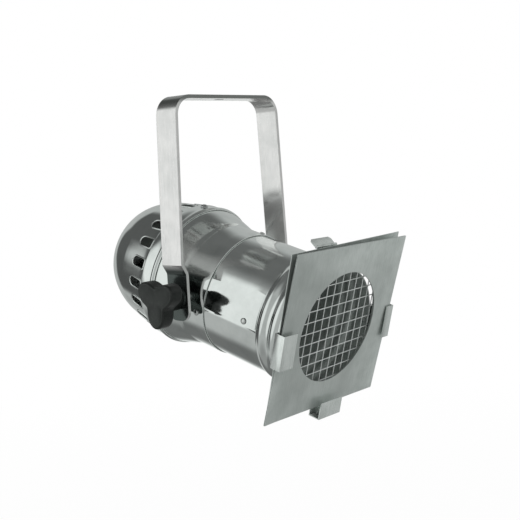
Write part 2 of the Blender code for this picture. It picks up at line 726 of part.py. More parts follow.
def guard_rear_x(y, z):
    """Where the guard's rear face stands, along the can, at a place across it."""
    place = guard_place()
    normal = place.to_3x3() @ Vector((1, 0, 0))
    centre = place.translation - normal * GUARD_SHEET
    return centre.x - (normal.y * (y - centre.y) + normal.z * (z - centre.z)) / normal.x


def leg_face_x(turn, centre, width, wall):
    """Where a leg's front face stands: the usual gap behind the guard, over the whole leg."""
    low = math.sqrt(TUBE_R ** 2 - (abs(centre) + width / 2) ** 2)
    spin = Matrix.Rotation(turn, 4, "X")
    stations = []
    for side in (centre - width / 2, centre + width / 2):
        for height in (low, wall):
            corner = spin @ Vector((0, side, height))
            stations.append(guard_rear_x(corner.y, corner.z))
    return min(stations) - CLEAR


def build_guard():
    """Guard frame, a square sheet with a window as wide as the tube, and the mesh on its front."""
    place = new_frame("guard_place", (0, 0, 0), (0, 0, 0), CAN)
    place.matrix_basis = guard_place()
    sheet = box_mesh((-GUARD_SHEET, -FRAME_HALF, -FRAME_HALF), (0, FRAME_HALF, FRAME_HALF))
    frame = add_part("guard_frame", sheet, PLATE, place)
    window = rod_mesh(GUARD_WINDOW_R, -PAST, PAST, BIG_STEPS, "X")
    cut(frame, add_cutter("guard_window", window, place))
    disc = rod_mesh(MESH_R, CLEAR, CLEAR + MESH_WIRE, MID_STEPS, "X")
    net = add_part("guard_mesh", disc, WIRE, place)
    cells = add_cutter("mesh_cells", cell_grid(), place)
    inside = rod_mesh(MESH_R - MESH_RIM, -PAST / 2, PAST / 2, MID_STEPS, "X")
    boolean(cells, "INTERSECT", add_cutter("mesh_inside", inside, place))
    cut(net, cells)


def cell_grid():
    """The mesh's square openings, as one set of blocks."""
    form = bmesh.new()
    reach = math.ceil(MESH_R / MESH_PITCH)
    opening = MESH_PITCH - MESH_WIRE
    for row in range(-reach, reach):
        for column in range(-reach, reach):
            y = (column + 0.5) * MESH_PITCH
            z = (row + 0.5) * MESH_PITCH
            if math.hypot(abs(y) - opening / 2, abs(z) - opening / 2) > MESH_R - 2 * MESH_RIM:
                continue
            block = bmesh.ops.create_cube(form, size=1)["verts"]
            bmesh.ops.scale(form, vec=(2 * PAST, opening, opening), verts=block)
            bmesh.ops.translate(form, vec=(0, y, z), verts=block)
    mesh = bpy.data.meshes.new("cells")
    form.to_mesh(mesh)
    form.free()
    return mesh


def build_foot(name, item, tube, place, rear_x, turn, side):
    """The foot that fastens a leg to the tube, with its rivet and the rivet's holes.

    The place is turned about the can's axis, and the foot by a further side angle.
    """
    foot = box_mesh((rear_x - CLIP_FOOT_LENGTH, -CLIP_FOOT_WIDTH / 2, TUBE_R + CLEAR),
                    (rear_x + CLIP_SHEET / 2, CLIP_FOOT_WIDTH / 2, TUBE_R + CLEAR + CLIP_SHEET))
    foot.transform(Matrix.Rotation(-side, 4, "X"))
    join(item, add_cutter(f"{name}_foot", foot, place))
    rivet_x = rear_x - CLIP_RIVET_INSET
    angle = math.pi / 2 - turn + side
    hole = rivet_hole(f"{name}_rivet_hole", rivet_x, angle, TUBE_R - PAST, TUBE_R + PAST)
    cut(tube, hole)
    cut(item, hole)
    rivet(f"{name}_rivet", rivet_x, angle, TUBE_R + CLEAR + CLIP_SHEET, TUBE_R - SHEET)


def build_clip(name, turn, centre, wall, lip, play, tube):
    """U clip on the tube: foot, leg behind the frames, outer wall and front lip.

    It is drawn for the top, with its width along Y, then turned about the can's axis.
    """
    place = new_frame(f"{name}_place", (0, 0, 0), (turn, 0, 0), CAN)
    rear_x = leg_face_x(turn, centre, CLIP_WIDTH, wall) - CLIP_SHEET
    front_x = LIP_X + play + CLIP_SHEET
    line = [(front_x, wall - lip), (front_x, wall), (rear_x, wall), (rear_x, TUBE_R / 2)]
    sheet = sheet_across(strip_outline(line, CLIP_SHEET), CLIP_WIDTH, centre)
    clip = add_part(name, sheet, PLATE, place)
    cut(clip, tube_bore(f"{name}_tube", place))
    build_foot(name, clip, tube, place, rear_x, turn, math.asin(centre / TUBE_R))


def build_clips(tube):
    """The three fixed clips at the left, right and bottom of the mouth."""
    build_clip("clip_left", math.pi / 2, LEFT_CENTRE_Z, LEFT_WALL, LEFT_LIP, LEFT_FRONT_PLAY, tube)
    build_clip("clip_right", -math.pi / 2, -RIGHT_CENTRE_Z, RIGHT_WALL, RIGHT_LIP, RIGHT_FRONT_PLAY, tube)
    build_clip("clip_bottom", math.pi, -BOTTOM_CENTRE_Y, BOTTOM_WALL, BOTTOM_LIP, BOTTOM_FRONT_PLAY, tube)


def build_latch(tube):
    """Top clip: a bracket on the tube, a hinge pin and the tab that locks the frames in.

    The tab sits on the side of its knuckle that lies clear of the frames' top edges when shut.
    """
    half = LATCH_WIDTH / 2
    edges = (LATCH_CENTRE_Y - half, LATCH_CENTRE_Y + half)
    leg_x = leg_face_x(0, LATCH_CENTRE_Y, LATCH_WIDTH, LATCH_AXIS_Z) - CLIP_SHEET
    axis_x = leg_x - CLIP_SHEET / 2
    leg_top = LATCH_AXIS_Z - KNUCKLE_R - CLEAR
    leg = box_mesh((leg_x, edges[0], TUBE_R / 2), (leg_x + CLIP_SHEET, edges[1], leg_top))
    bracket = add_part("latch_bracket", leg, PLATE)
    cut(bracket, tube_bore("latch_bracket_tube", CAN))
    for index, low in enumerate((edges[0], edges[1] - LATCH_EAR)):
        high = low + LATCH_EAR
        ear = box_mesh((leg_x, low, leg_top - PAST), (leg_x + CLIP_SHEET, high, LATCH_AXIS_Z))
        knuckle = rod_mesh(KNUCKLE_R, low, high, SMALL_STEPS, "Y", (axis_x, 0, LATCH_AXIS_Z))
        join(bracket, add_cutter(f"latch_ear_{index + 1}", ear),
             add_cutter(f"latch_ear_knuckle_{index + 1}", knuckle))
    build_foot("latch_bracket", bracket, tube, CAN, leg_x, 0, math.asin(LATCH_CENTRE_Y / TUBE_R))
    hinge = new_frame("latch_hinge", (axis_x, LATCH_CENTRE_Y, LATCH_AXIS_Z), (0, -LATCH_OPEN, 0), CAN)
    bore = rod_mesh(LATCH_PIN_R + CLEAR, -LATCH_WIDTH, LATCH_WIDTH, SMALL_STEPS, "Y")
    bore = add_cutter("latch_pin_bore", bore, hinge)
    cut(bracket, bore)
    add_part("latch_pin", rod_mesh(LATCH_PIN_R, -half, half, SMALL_STEPS, "Y"), ZINC, hinge)
    neck = half - LATCH_EAR - CLEAR
    root = KNUCKLE_R + 2 * CLEAR
    end = LATCH_END_WIDTH / 2
    taper = LATCH_LENGTH - (half - end)
    edge = [(0, neck), (root, neck), (root, half), (taper, half), (LATCH_LENGTH, end)]
    outline = edge + [(x, -y) for x, y in edge[::-1]]
    tab = flat_mesh(outline, CLIP_SHEET)
    tab.transform(Matrix.Translation((0, 0, KNUCKLE_R - CLIP_SHEET / 2 - CLEAR / 3)))
    latch = add_part("top_latch", tab, PLATE, hinge)
    join(latch, add_cutter("latch_knuckle", rod_mesh(KNUCKLE_R, -neck, neck, SMALL_STEPS, "Y"), hinge))
    cut(latch, bore)


def build_tube_rivets(tube, housing):
    """The rivet through the tube's lap and the ring of rivets that holds the tube."""
    hole = rivet_hole("seam_rivet_hole", SEAM_RIVET_X, SEAM_RIVET_ANGLE, TUBE_R - PAST, TUBE_R + PAST)
    cut(tube, hole)
    rivet("seam_rivet", SEAM_RIVET_X, SEAM_RIVET_ANGLE, TUBE_R + SEAM_STEP, TUBE_R - SHEET)
    for index in range(NECK_RIVET_COUNT):
        angle = NECK_RIVET_ANGLE + 2 * math.pi * index / NECK_RIVET_COUNT
        name = f"neck_rivet_{index + 1}"
        hole = rivet_hole(f"{name}_hole", NECK_RIVET_X, angle, TUBE_R - PAST, NECK_R + PAST)
        cut(tube, hole)
        cut(housing, hole)
        rivet(name, NECK_RIVET_X, angle, NECK_R, TUBE_R - SHEET)


def build_cap_screws(cap, housing):
    """Pan-head cross-recess screws that hold the cap on the housing's skirt."""
    seat = CAP_R + CLEAR
    top = seat + SCREW_HEAD_HEIGHT
    tip = seat - SCREW_LENGTH
    profile = [(0, top), (SCREW_HEAD_TOP_R, top), (SCREW_HEAD_R, seat + SCREW_HEAD_EDGE),
               (SCREW_HEAD_R, seat), (SCREW_R, seat), (SCREW_R, tip), (0, tip - SCREW_R)]
    arms = ((RECESS_ARM, RECESS_BLADE), (RECESS_BLADE, RECESS_ARM))
    for index in range(CAP_SCREW_COUNT):
        angle = CAP_SCREW_ANGLE + 2 * math.pi * index / CAP_SCREW_COUNT
        name = f"cap_screw_{index + 1}"
        hole = add_cutter(f"{name}_hole", rod_mesh(SCREW_R + CLEAR, SKIRT_R - PAST, CAP_R + PAST))
        stand_out(hole, CAP_SCREW_X, angle)
        cut(cap, hole)
        cut(housing, hole)
        screw = stand_out(turned(name, profile, SMALL_STEPS, ZINC), CAP_SCREW_X, angle)
        for half_x, half_y in arms:
            arm = box_mesh((-half_x, -half_y, top - RECESS_DEPTH), (half_x, half_y, top + PAST))
            cut(screw, stand_out(add_cutter(f"{name}_recess", arm), CAP_SCREW_X, angle))


def bowl_radius(x):
    """The reflector's parabola."""
    return math.sqrt(4 * BOWL_FOCUS * (x - BOWL_VERTEX_X))


def build_lamp():
    """Sealed-beam lamp: lens, mirrored bowl, screw cap and centre contact."""
    shares = [index / 5 for index in range(6)]
    inner_r = LAMP_R - LENS_THICK
    front = [(LAMP_R * share, LAMP_FACE_X - LENS_SAG * share ** 2) for share in shares]
    back = [(inner_r * share, LAMP_FACE_X - LENS_THICK - LENS_SAG * share ** 2) for share in shares]
    profile = front + [(LAMP_R, LENS_BACK_X), (inner_r, LENS_BACK_X)] + back[::-1]
    along_can(turned("lamp_lens", profile, MID_STEPS, GLASS))
    rim_x = LENS_BACK_X - CLEAR
    stations = [rim_x + (BOWL_NECK_X - rim_x) * index / 6 for index in range(7)]
    outside = [(bowl_radius(x), x) for x in stations]
    inside = [(radius - BOWL_WALL, x) for radius, x in outside]
    profile = [(0, BOWL_NECK_X)] + inside[::-1] + outside
    profile += [(GLASS_END_R, GLASS_END_X), (0, GLASS_END_X)]
    along_can(turned("lamp_reflector", profile, MID_STEPS, MIRROR))
    top = GLASS_END_X - CLEAR
    skirt_x = top - THREAD_PITCH
    turns = int((skirt_x - SCREW_CAP_END_X) / THREAD_PITCH)
    profile = [(0, top), (SCREW_CAP_SKIRT_R, top), (SCREW_CAP_SKIRT_R, skirt_x)]
    for index in range(turns):
        groove_x = skirt_x - THREAD_PITCH * (index + 0.5)
        profile += [(SCREW_CAP_R - THREAD_DEPTH, groove_x), (SCREW_CAP_R, groove_x - THREAD_PITCH / 2)]
    profile += [(SCREW_CAP_END_R, SCREW_CAP_END_X), (CONTACT_SEAT_R, SCREW_CAP_FOOT_X),
                (0, SCREW_CAP_FOOT_X)]
    along_can(turned("lamp_screw_cap", profile, HUB_STEPS, BRASS))
    top = SCREW_CAP_FOOT_X - CLEAR
    profile = [(0, top), (CONTACT_R, top), (CONTACT_R, top - CONTACT_THICK / 2),
               (CONTACT_TIP_R, LAMP_TIP_X), (0, LAMP_TIP_X)]
    along_can(turned("lamp_contact", profile, SMALL_STEPS, ZINC))


def build_filament():
    """The filament, as a bar across two support wires that stand on the bowl's floor."""
    focus_x = BOWL_VERTEX_X + BOWL_FOCUS
    wire = FILAMENT_WIRE / 2
    bar = box_mesh((focus_x - wire, -FILAMENT_HALF, -wire), (focus_x + wire, FILAMENT_HALF, wire))
    filament = add_part("lamp_filament", bar, ZINC)
    post = FILAMENT_POST / 2
    for sign in (-1, 1):
        y = sign * (FILAMENT_HALF - wire)
        leg = box_mesh((BOWL_NECK_X + CLEAR, y - post, -post), (focus_x, y + post, post))
        join(filament, add_cutter(f"filament_post_{sign}", leg))


def build_lampholder():
    """Ceramic lampholder with the contact in its floor."""
    bore = SCREW_CAP_R + HOLDER_PLAY
    profile = [(0, HOLDER_FLOOR_X), (bore, HOLDER_FLOOR_X), (bore, HOLDER_MOUTH_X),
               (HOLDER_R - HOLDER_CHAMFER, HOLDER_MOUTH_X), (HOLDER_R, HOLDER_MOUTH_X - HOLDER_CHAMFER),
               (HOLDER_R, HOLDER_BACK_X), (0, HOLDER_BACK_X)]
    holder = along_can(turned("lampholder", profile, MID_STEPS, CERAMIC))
    low = HOLDER_FLOOR_X + CLEAR
    top = low + CONTACT_THICK
    profile = [(0, top), (CONTACT_R, top), (HOLDER_CONTACT_R, low), (0, low)]
    along_can(turned("holder_contact", profile, SMALL_STEPS, BRASS))
    return holder


def build_bracket(holder, housing):
    """Bent bracket that carries the lampholder, riveted inside the housing's skirt."""
    foot_y = math.sqrt((SKIRT_R - SHEET) ** 2 - (BRACKET_WIDTH / 2) ** 2) - CLEAR
    near = [(BRACKET_KNEE_X + BRACKET_FOOT, foot_y), (BRACKET_KNEE_X, foot_y),
            (BRACKET_BACK_X, BRACKET_BASE_HALF)]
    line = near + [(x, -y) for x, y in near[::-1]]
    sheet = flat_mesh(strip_outline(line, BRACKET_SHEET), BRACKET_WIDTH)
    bracket = add_part("lampholder_bracket", sheet, ZINC)
    tip_x = HOLDER_BACK_X + HOLDER_SCREW_DEPTH
    back_screw("holder_screw_1", -HOLDER_SCREW_Y, tip_x, (bracket, holder))
    back_screw("holder_screw_2", HOLDER_SCREW_Y, tip_x, (bracket, holder))
    back_screw("earth_screw", EARTH_SCREW_Y, tip_x, (bracket,))
    inner = foot_y - BRACKET_SHEET - CLEAR
    profile = [(0, SKIRT_R), (RIVET_R, SKIRT_R), (RIVET_R, inner), (RIVET_HEAD_R, inner),
               (RIVET_TAIL_R, inner - RIVET_HEAD_HEIGHT), (0, inner - RIVET_HEAD_HEIGHT)]
    for index in range(2):
        angle = math.pi * index
        name = f"bracket_rivet_{index + 1}"
        stand_out(turned(name, profile, RIVET_STEPS, SATIN), BRACKET_RIVET_X, angle)
        hole = rivet_hole(f"{name}_hole", BRACKET_RIVET_X, angle, inner - PAST, SKIRT_R + PAST)
        cut(bracket, hole)
        cut(housing, hole)


def back_screw(name, y, tip_x, through):
    """A slotted screw driven forwards through the bracket's base at a place across it."""
    head_x = BRACKET_BACK_X - CLEAR
    end_x = head_x - SCREW_HEAD_HEIGHT
    profile = [(0, tip_x), (SCREW_R, tip_x), (SCREW_R, head_x), (BACK_SCREW_HEAD_R, head_x),
               (BACK_SCREW_HEAD_R, end_x), (0, end_x)]
    screw = along_can(turned(name, profile, RIVET_STEPS, ZINC), y)
    reach = BACK_SCREW_HEAD_R + PAST
    slot = box_mesh((end_x - PAST, y - reach, -RECESS_BLADE),
                    (end_x + RECESS_DEPTH, y + reach, RECESS_BLADE))
    cut(screw, add_cutter(f"{name}_slot", slot))
    hole = rod_mesh(SCREW_R + CLEAR, head_x - CLEAR, tip_x + CLEAR, RIVET_STEPS, "X", (0, y, 0))
    hole = add_cutter(f"{name}_hole", hole)
    for item in through:
        cut(item, hole)


def build_terminal_block():
    """Two-way ceramic terminal block on the back of the bracket."""
    front_x = BRACKET_BACK_X - CLEAR
    low = (front_x - BLOCK_LENGTH, BLOCK_Y - BLOCK_WIDTH / 2, -BLOCK_HEIGHT / 2)
    high = (front_x, BLOCK_Y + BLOCK_WIDTH / 2, BLOCK_HEIGHT / 2)
    block = add_part("terminal_block", box_mesh(low, high), CERAMIC)
    for sign in (-1, 1):
        centre = (front_x - BLOCK_LENGTH / 2, BLOCK_Y, sign * BLOCK_HEIGHT / 4)
        hole = rod_mesh(SCREW_R, -BLOCK_WIDTH, BLOCK_WIDTH, RIVET_STEPS, "Y", centre)
        cut(block, add_cutter(f"terminal_hole_{sign}", hole))


def build_gland(cap):
    """Cable gland through the cap's back, with its nut inside."""
    place = new_frame("gland_place", (0, 0, GLAND_Z), (0, math.pi / 2, 0), CAN)
    inside = CAP_BACK_X + SHEET
    thread_end = inside + GLAND_THREAD_LENGTH
    seat = CAP_BACK_X - CLEAR
    nose_end = seat - GLAND_LENGTH
    profile = [(GLAND_THREAD_R, thread_end), (GLAND_THREAD_R, seat), (GLAND_FLANGE_R, seat),
               (GLAND_FLANGE_R, seat - GLAND_FLANGE), (GLAND_DOME_R, seat - GLAND_FLANGE),
               (GLAND_DOME_R, nose_end + GLAND_NOSE_LENGTH), (GLAND_NOSE_R, nose_end),
               (GLAND_BORE_R, nose_end), (GLAND_BORE_R, thread_end)]
    turned("cable_gland", profile, HUB_STEPS, BLACK, place, True)
    low = inside + CLEAR
    nut = rod_mesh(GLAND_NUT_FLATS / math.sqrt(3), low, low + GLAND_NUT, 6)
    nut = add_part("gland_nut", nut, BLACK, place)
    hole_r = GLAND_THREAD_R + CLEAR
    bore = rod_mesh(hole_r, inside - PAST, low + GLAND_NUT + PAST, HUB_STEPS)
    hole = rod_mesh(hole_r, CAP_BACK_X - PAST, CAP_BACK_X + PAST, HUB_STEPS)
    cut(nut, add_cutter("gland_nut_bore", bore, place))
    cut(cap, add_cutter("gland_hole", hole, place))


def build_par_can():
    """Everything, from the yoke inwards."""
    build_yoke()
    tube = build_front_tube()
    housing = build_rear_housing()
    cap = build_rear_cap()
    build_clamp("near", math.pi / 2, KNOB_NEAR_PHASE, housing)
    build_clamp("far", -math.pi / 2, KNOB_FAR_PHASE, housing)
    build_colour_frame()
    build_guard()
    build_clips(tube)
    build_latch(tube)
    build_tube_rivets(tube, housing)
    build_cap_screws(cap, housing)
    build_lamp()
    build_filament()
    holder = build_lampholder()
    build_bracket(holder, housing)
    build_terminal_block()
    build_gland(cap)
    bpy.context.view_layer.update()


build_par_can()
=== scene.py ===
# %% [markdown]
# # Dressing a par can
# A par can is a sheet-metal stage light: a polished tube with a sealed lamp in it, hung from
# a flat-bar yoke. The solids already exist, with their joints. This lesson gives them their
# looks: it builds finer skins over the polished pieces, because a mirror finish shows every
# facet, gives each metal its own finish, and sets up a small studio round the light.

# %% Load the frame and remember its box
import json
import math
import random

import bmesh
import bpy
from mathutils import Matrix, Vector
from mathutils.kdtree import KDTree


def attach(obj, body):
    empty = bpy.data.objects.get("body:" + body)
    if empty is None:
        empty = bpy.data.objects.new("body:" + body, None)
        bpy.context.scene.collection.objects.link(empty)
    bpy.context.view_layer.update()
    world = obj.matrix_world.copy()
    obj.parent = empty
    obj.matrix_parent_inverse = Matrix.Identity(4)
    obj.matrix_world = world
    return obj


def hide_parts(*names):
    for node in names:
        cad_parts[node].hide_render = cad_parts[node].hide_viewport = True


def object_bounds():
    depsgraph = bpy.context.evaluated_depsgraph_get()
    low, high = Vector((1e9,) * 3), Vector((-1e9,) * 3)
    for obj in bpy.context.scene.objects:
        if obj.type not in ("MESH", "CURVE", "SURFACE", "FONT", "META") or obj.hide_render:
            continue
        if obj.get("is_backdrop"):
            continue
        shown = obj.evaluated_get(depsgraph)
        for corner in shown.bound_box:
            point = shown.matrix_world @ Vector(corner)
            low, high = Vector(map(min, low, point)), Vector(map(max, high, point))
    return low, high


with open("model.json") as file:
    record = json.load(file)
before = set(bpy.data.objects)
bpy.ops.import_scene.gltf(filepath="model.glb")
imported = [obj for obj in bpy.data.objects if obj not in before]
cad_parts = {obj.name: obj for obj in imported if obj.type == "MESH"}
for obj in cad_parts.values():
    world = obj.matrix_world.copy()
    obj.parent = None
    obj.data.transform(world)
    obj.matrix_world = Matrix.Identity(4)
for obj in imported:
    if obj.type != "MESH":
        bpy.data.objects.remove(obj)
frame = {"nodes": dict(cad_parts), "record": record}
CAD_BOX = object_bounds()
NODES = frame["nodes"]
SLOT_OF = {part["node"]: part["material_slot"] for part in frame["record"]["subparts"]}
print("CAD box in mm:", [round(1000 * size) for size in CAD_BOX[1] - CAD_BOX[0]], "nodes:", len(NODES))

# %% [markdown]
# ## Where things are
# The can hangs tilted, so its own frame is worth having: X runs along the can out of its
# mouth, Z is the can's own up, and the origin is the pivot between the two hand knobs.
# Pieces are drawn there and then carried into the room by one matrix.

# %% The can's own frame
MM = 0.001
TILT = math.radians(15.09)
PIVOT_DROP = 201.4 * MM
PIVOT = Vector((0, 0, -PIVOT_DROP))
CAN = Matrix.Translation(PIVOT) @ Matrix.Rotation(TILT, 4, "Y")
TO_CAN = CAN.inverted()
print("the can looks down by", round(math.degrees(TILT), 1), "degrees")

# %% [markdown]
# ## A small kit for finishes
# Blender's finishes are graphs of small tools. A few helpers keep them short: one adds a
# tool and wires it up, one starts a finish, and the others each stand for a step that comes
# up again and again. Colours that vary come from noise that is measured in real lengths, so
# the grain keeps its size wherever it is used.

# %% Start a finish and add tools


def tool(tree, kind, inputs=(), **settings):
    """Add one tool to a graph, with its settings, and wire or set its inputs."""
    made = tree.nodes.new(kind)
    for key, value in settings.items():
        setattr(made, key, value)
    for key, value in dict(inputs).items():
        if isinstance(value, bpy.types.NodeSocket):
            tree.links.new(value, made.inputs[key])
        else:
            made.inputs[key].default_value = value
    return made


def start_finish(name, **constants):
    """A new finish, with the constant values set on the shader's own sockets."""
    finish = bpy.data.materials.new(name)
    finish.use_nodes = True
    shader = finish.node_tree.nodes["Principled BSDF"]
    for key, value in constants.items():
        shader.inputs[key.replace("_", " ").title().replace("Ior", "IOR")].default_value = value
    return finish, finish.node_tree, shader


print("tools can be added and wired")

# %% Places and noise


def room_place(tree):
    """Places in the part's own metres, which move with the piece."""
    return tool(tree, "ShaderNodeTexCoord").outputs["Object"]


def can_place(tree):
    """The same places, turned and shifted into the can's own frame."""
    shift = TO_CAN.translation
    return tool(tree, "ShaderNodeMapping", {"Vector": room_place(tree), "Location": shift,
                                            "Rotation": (0, -TILT, 0)}).outputs["Vector"]


def stretched(tree, place, scale):
    """Places scaled along each direction, for grain that runs one way."""
    return tool(tree, "ShaderNodeMapping", {"Vector": place, "Scale": scale}).outputs["Vector"]


def parts_of(tree, place):
    """A place or a direction, taken apart into X, Y and Z."""
    return tool(tree, "ShaderNodeSeparateXYZ", {"Vector": place}).outputs


def noise(tree, place, scale, detail=2.0, roughness=0.5):
    """Cloudy noise, as a number from about 0.3 to 0.7."""
    return tool(tree, "ShaderNodeTexNoise", {"Vector": place, "Scale": scale, "Detail": detail,
                                             "Roughness": roughness}).outputs["Fac"]


def rings(tree, place, pitch):
    """Fine marks left by a spinning tool: noise that changes only along the can."""
    along = parts_of(tree, place)["X"]
    return tool(tree, "ShaderNodeTexNoise", {"W": along, "Scale": 1 / pitch, "Detail": 3.0},
                noise_dimensions="1D").outputs["Fac"]


print("places are in metres, in the room and along the can")

# %% Numbers and colours


def spread(tree, value, low, high, to_low=0.0, to_high=1.0):
    """Stretch a number from one range to another, and hold it there."""
    return tool(tree, "ShaderNodeMapRange", {"Value": value, "From Min": low, "From Max": high,
                                             "To Min": to_low, "To Max": to_high}).outputs["Result"]


def sum_of(tree, first, second):
    """Two numbers added."""
    return tool(tree, "ShaderNodeMath", {0: first, 1: second}, operation="ADD").outputs[0]


def both_of(tree, first, second):
    """Where two masks hold together."""
    return tool(tree, "ShaderNodeMath", {0: first, 1: second}, operation="MULTIPLY").outputs[0]


def larger_of(tree, first, second):
    """Where at least one of two masks holds."""
    return tool(tree, "ShaderNodeMath", {0: first, 1: second}, operation="MAXIMUM").outputs[0]


def mixed(tree, share, first, second):
    """Mix two colours by a share."""
    made = tool(tree, "ShaderNodeMix", data_type="RGBA")
    tree.links.new(share, made.inputs[0])
    for socket, colour in ((made.inputs[6], first), (made.inputs[7], second)):
        if isinstance(colour, bpy.types.NodeSocket):
            tree.links.new(colour, socket)
        else:
            socket.default_value = (*colour, 1)
    return made.outputs[2]


print("numbers and colours can be mixed")

# %% Wire up a shader


def relief(tree, shader, heights):
    """Stack bumps, each with its depth in metres, onto the shader."""
    normal = None
    for height, depth in heights:
        inputs = {"Height": height, "Distance": depth, "Strength": 1.0}
        if normal is not None:
            inputs["Normal"] = normal
        normal = tool(tree, "ShaderNodeBump", inputs).outputs["Normal"]
    tree.links.new(normal, shader.inputs["Normal"])


def wire_looks(tree, shader, colour, roughness):
    """Wire a finish's colour and roughness to its shader."""
    tree.links.new(colour, shader.inputs["Base Color"])
    tree.links.new(roughness, shader.inputs["Roughness"])


print("finish helpers ready")

# %% [markdown]
# ## Polished aluminium
# The tube, housing and cap are spun or rolled from bright sheet and buffed. The finish is
# nearly a mirror, so most of its look comes from the room. What makes it real is what is
# not perfect: rings from the spinning lathe, slow waves in the thin sheet that bend the
# reflections, and finger smudges that dull it here and there.

# %% Polished aluminium


def polished(name, wave_depth, smudge):
    """Buffed sheet: a near mirror with spin marks, waves and smudges."""
    finish, tree, shader = start_finish(name, metallic=1.0)
    place = can_place(tree)
    cloud = noise(tree, place, 28, 4, 0.6)
    fine = noise(tree, place, 420, 3, 0.7)
    worn = spread(tree, cloud, 0.42, 0.68)
    colour = mixed(tree, worn, (0.83, 0.86, 0.845), (0.72, 0.75, 0.735))
    base = spread(tree, cloud, 0.35, 0.75, 0.045, 0.045 + smudge)
    dust = spread(tree, fine, 0.55, 0.8, 0, 0.05)
    wire_looks(tree, shader, colour, sum_of(tree, base, dust))
    slow = noise(tree, stretched(tree, place, (0.6, 1, 1)), 34, 1, 0.4)
    relief(tree, shader, [(slow, wave_depth), (rings(tree, place, 0.9 * MM), 0.006 * MM),
                          (fine, 0.003 * MM)])
    return finish


POLISHED = polished("polished_aluminium", 0.30 * MM, 0.10)
print("made", POLISHED.name)

# %% [markdown]
# ## Satin aluminium, plated steel and wire
# The yoke is flat bar with its mill grain running along it. The two square sheets are
# plated steel with a soft, cloudy sheen, and the clips are bent from a brighter strip. The
# shells are polished on their outside alone: inside they keep the dull finish that the
# sheet came with, in a darker colour that is painted shade for the dim inside of the can,
# and their cut edges are pale. Wire, screws and rivets are too small for grain, so they get
# mottling instead. One function makes all eight, because they differ only in colour, in how
# dull they are and in which way the grain runs.

# %% Satin metals


def satin(name, light, dark, dullness, grain, depth, in_can=True, bare=1.0, patchiness=0.0):
    """A dull metal whose grain runs along the direction with the smallest grain number.

    bare is how much of it mirrors like clean metal, and the last argument darkens broad, random patches of
    it.
    """
    finish, tree, shader = start_finish(name, metallic=bare)
    place = can_place(tree) if in_can else room_place(tree)
    lines = noise(tree, stretched(tree, place, grain), 1, 4, 0.65)
    cloud = noise(tree, place, 45, 4, 0.6)
    both = sum_of(tree, lines, cloud)
    shade = spread(tree, both, 0.78, 1.22)
    # Broad random patches, darker where this coarse noise is high.
    broad = spread(tree, noise(tree, place, 9, 2, 0.5), 0.36, 0.62, 0, patchiness)
    patch_colour = tuple(0.66 * value for value in dark)
    colour = mixed(tree, broad, mixed(tree, shade, dark, light), patch_colour)
    wire_looks(tree, shader, colour, spread(tree, both, 0.75, 1.25, dullness + 0.06, dullness - 0.05))
    relief(tree, shader, [(lines, depth), (cloud, depth * 2)])
    return finish


BAR = satin("satin_aluminium_bar", (0.86, 0.845, 0.84), (0.74, 0.735, 0.73), 0.18,
            (2200, 60, 60), 0.006 * MM, in_can=False, bare=0.88)
ALUMINIUM = satin("satin_aluminium", (0.74, 0.75, 0.74), (0.58, 0.60, 0.59), 0.25,
                  (900, 900, 900), 0.004 * MM)
PLATE = satin("satin_steel", (0.76, 0.81, 0.785), (0.58, 0.63, 0.605), 0.36,
              (700, 1500, 60), 0.006 * MM, bare=0.72, patchiness=0.6)
CLIP = satin("bright_clip_steel", (0.82, 0.855, 0.835), (0.68, 0.72, 0.70), 0.20,
             (700, 1500, 60), 0.006 * MM, bare=0.88)
WIRE = satin("galvanised_wire", (0.90, 0.93, 0.91), (0.70, 0.74, 0.72), 0.42,
             (1500, 1500, 1500), 0.01 * MM, bare=0.5)
ZINC = satin("zinc_plated_steel", (0.70, 0.71, 0.70), (0.50, 0.52, 0.53), 0.26,
             (1300, 1300, 1300), 0.006 * MM)
# The shells' insides: a real dull finish, in a colour kept darker as painted shade for the dim inside of the
# can.
MILL_WITH_PAINTED_SHADE = satin("mill_finish_with_painted_shade_inside", (0.66, 0.70, 0.68), (0.50, 0.54, 0.52), 0.5,
             (900, 900, 900), 0.01 * MM, bare=0.65)
CUT = satin("cut_sheet_edge", (0.84, 0.87, 0.85), (0.66, 0.70, 0.68), 0.45,
            (1500, 1500, 1500), 0.006 * MM, bare=0.5)
METALS = (BAR, ALUMINIUM, PLATE, CLIP, WIRE, ZINC, MILL_WITH_PAINTED_SHADE, CUT)
print("satin metals:", [metal.name for metal in METALS])

# %% [markdown]
# ## Painted reflections on the bar
# In the photograph the bar is dark at its pads and on its crown, where it mirrors the
# clamps and a dark ceiling. This studio is plainer than that one, so the finish has these
# reflections painted into its colour: a painted reflection of the clamps on the pads' broad
# faces, and of the dark ceiling on the crown and on every face that looks up. The zones
# could be painted by hand, but a mask made from the height and from the way that a face
# looks needs no picture, and it stays sharp close up.

# %% Paint reflected shade on the bar's pads and crown
PAD_SHADE_TOP, PAD_SHADE_EDGE = PIVOT.z + 33 * MM, 6 * MM
CROWN_SHADE_LOW, CROWN_SHADE_EDGE = -8 * MM, 4 * MM
# Painted reflection colours: the dark ceiling on the crown and on upward faces, the clamps on the pads.
CROWN_PAINTED_REFLECTION, PAD_PAINTED_REFLECTION = (0.26, 0.27, 0.26), (0.085, 0.10, 0.095)
tree = BAR.node_tree
height = parts_of(tree, room_place(tree))["Z"]
facing = parts_of(tree, tool(tree, "ShaderNodeNewGeometry").outputs["Normal"])
sideways = tool(tree, "ShaderNodeMath", {0: facing["Y"]}, operation="ABSOLUTE").outputs[0]
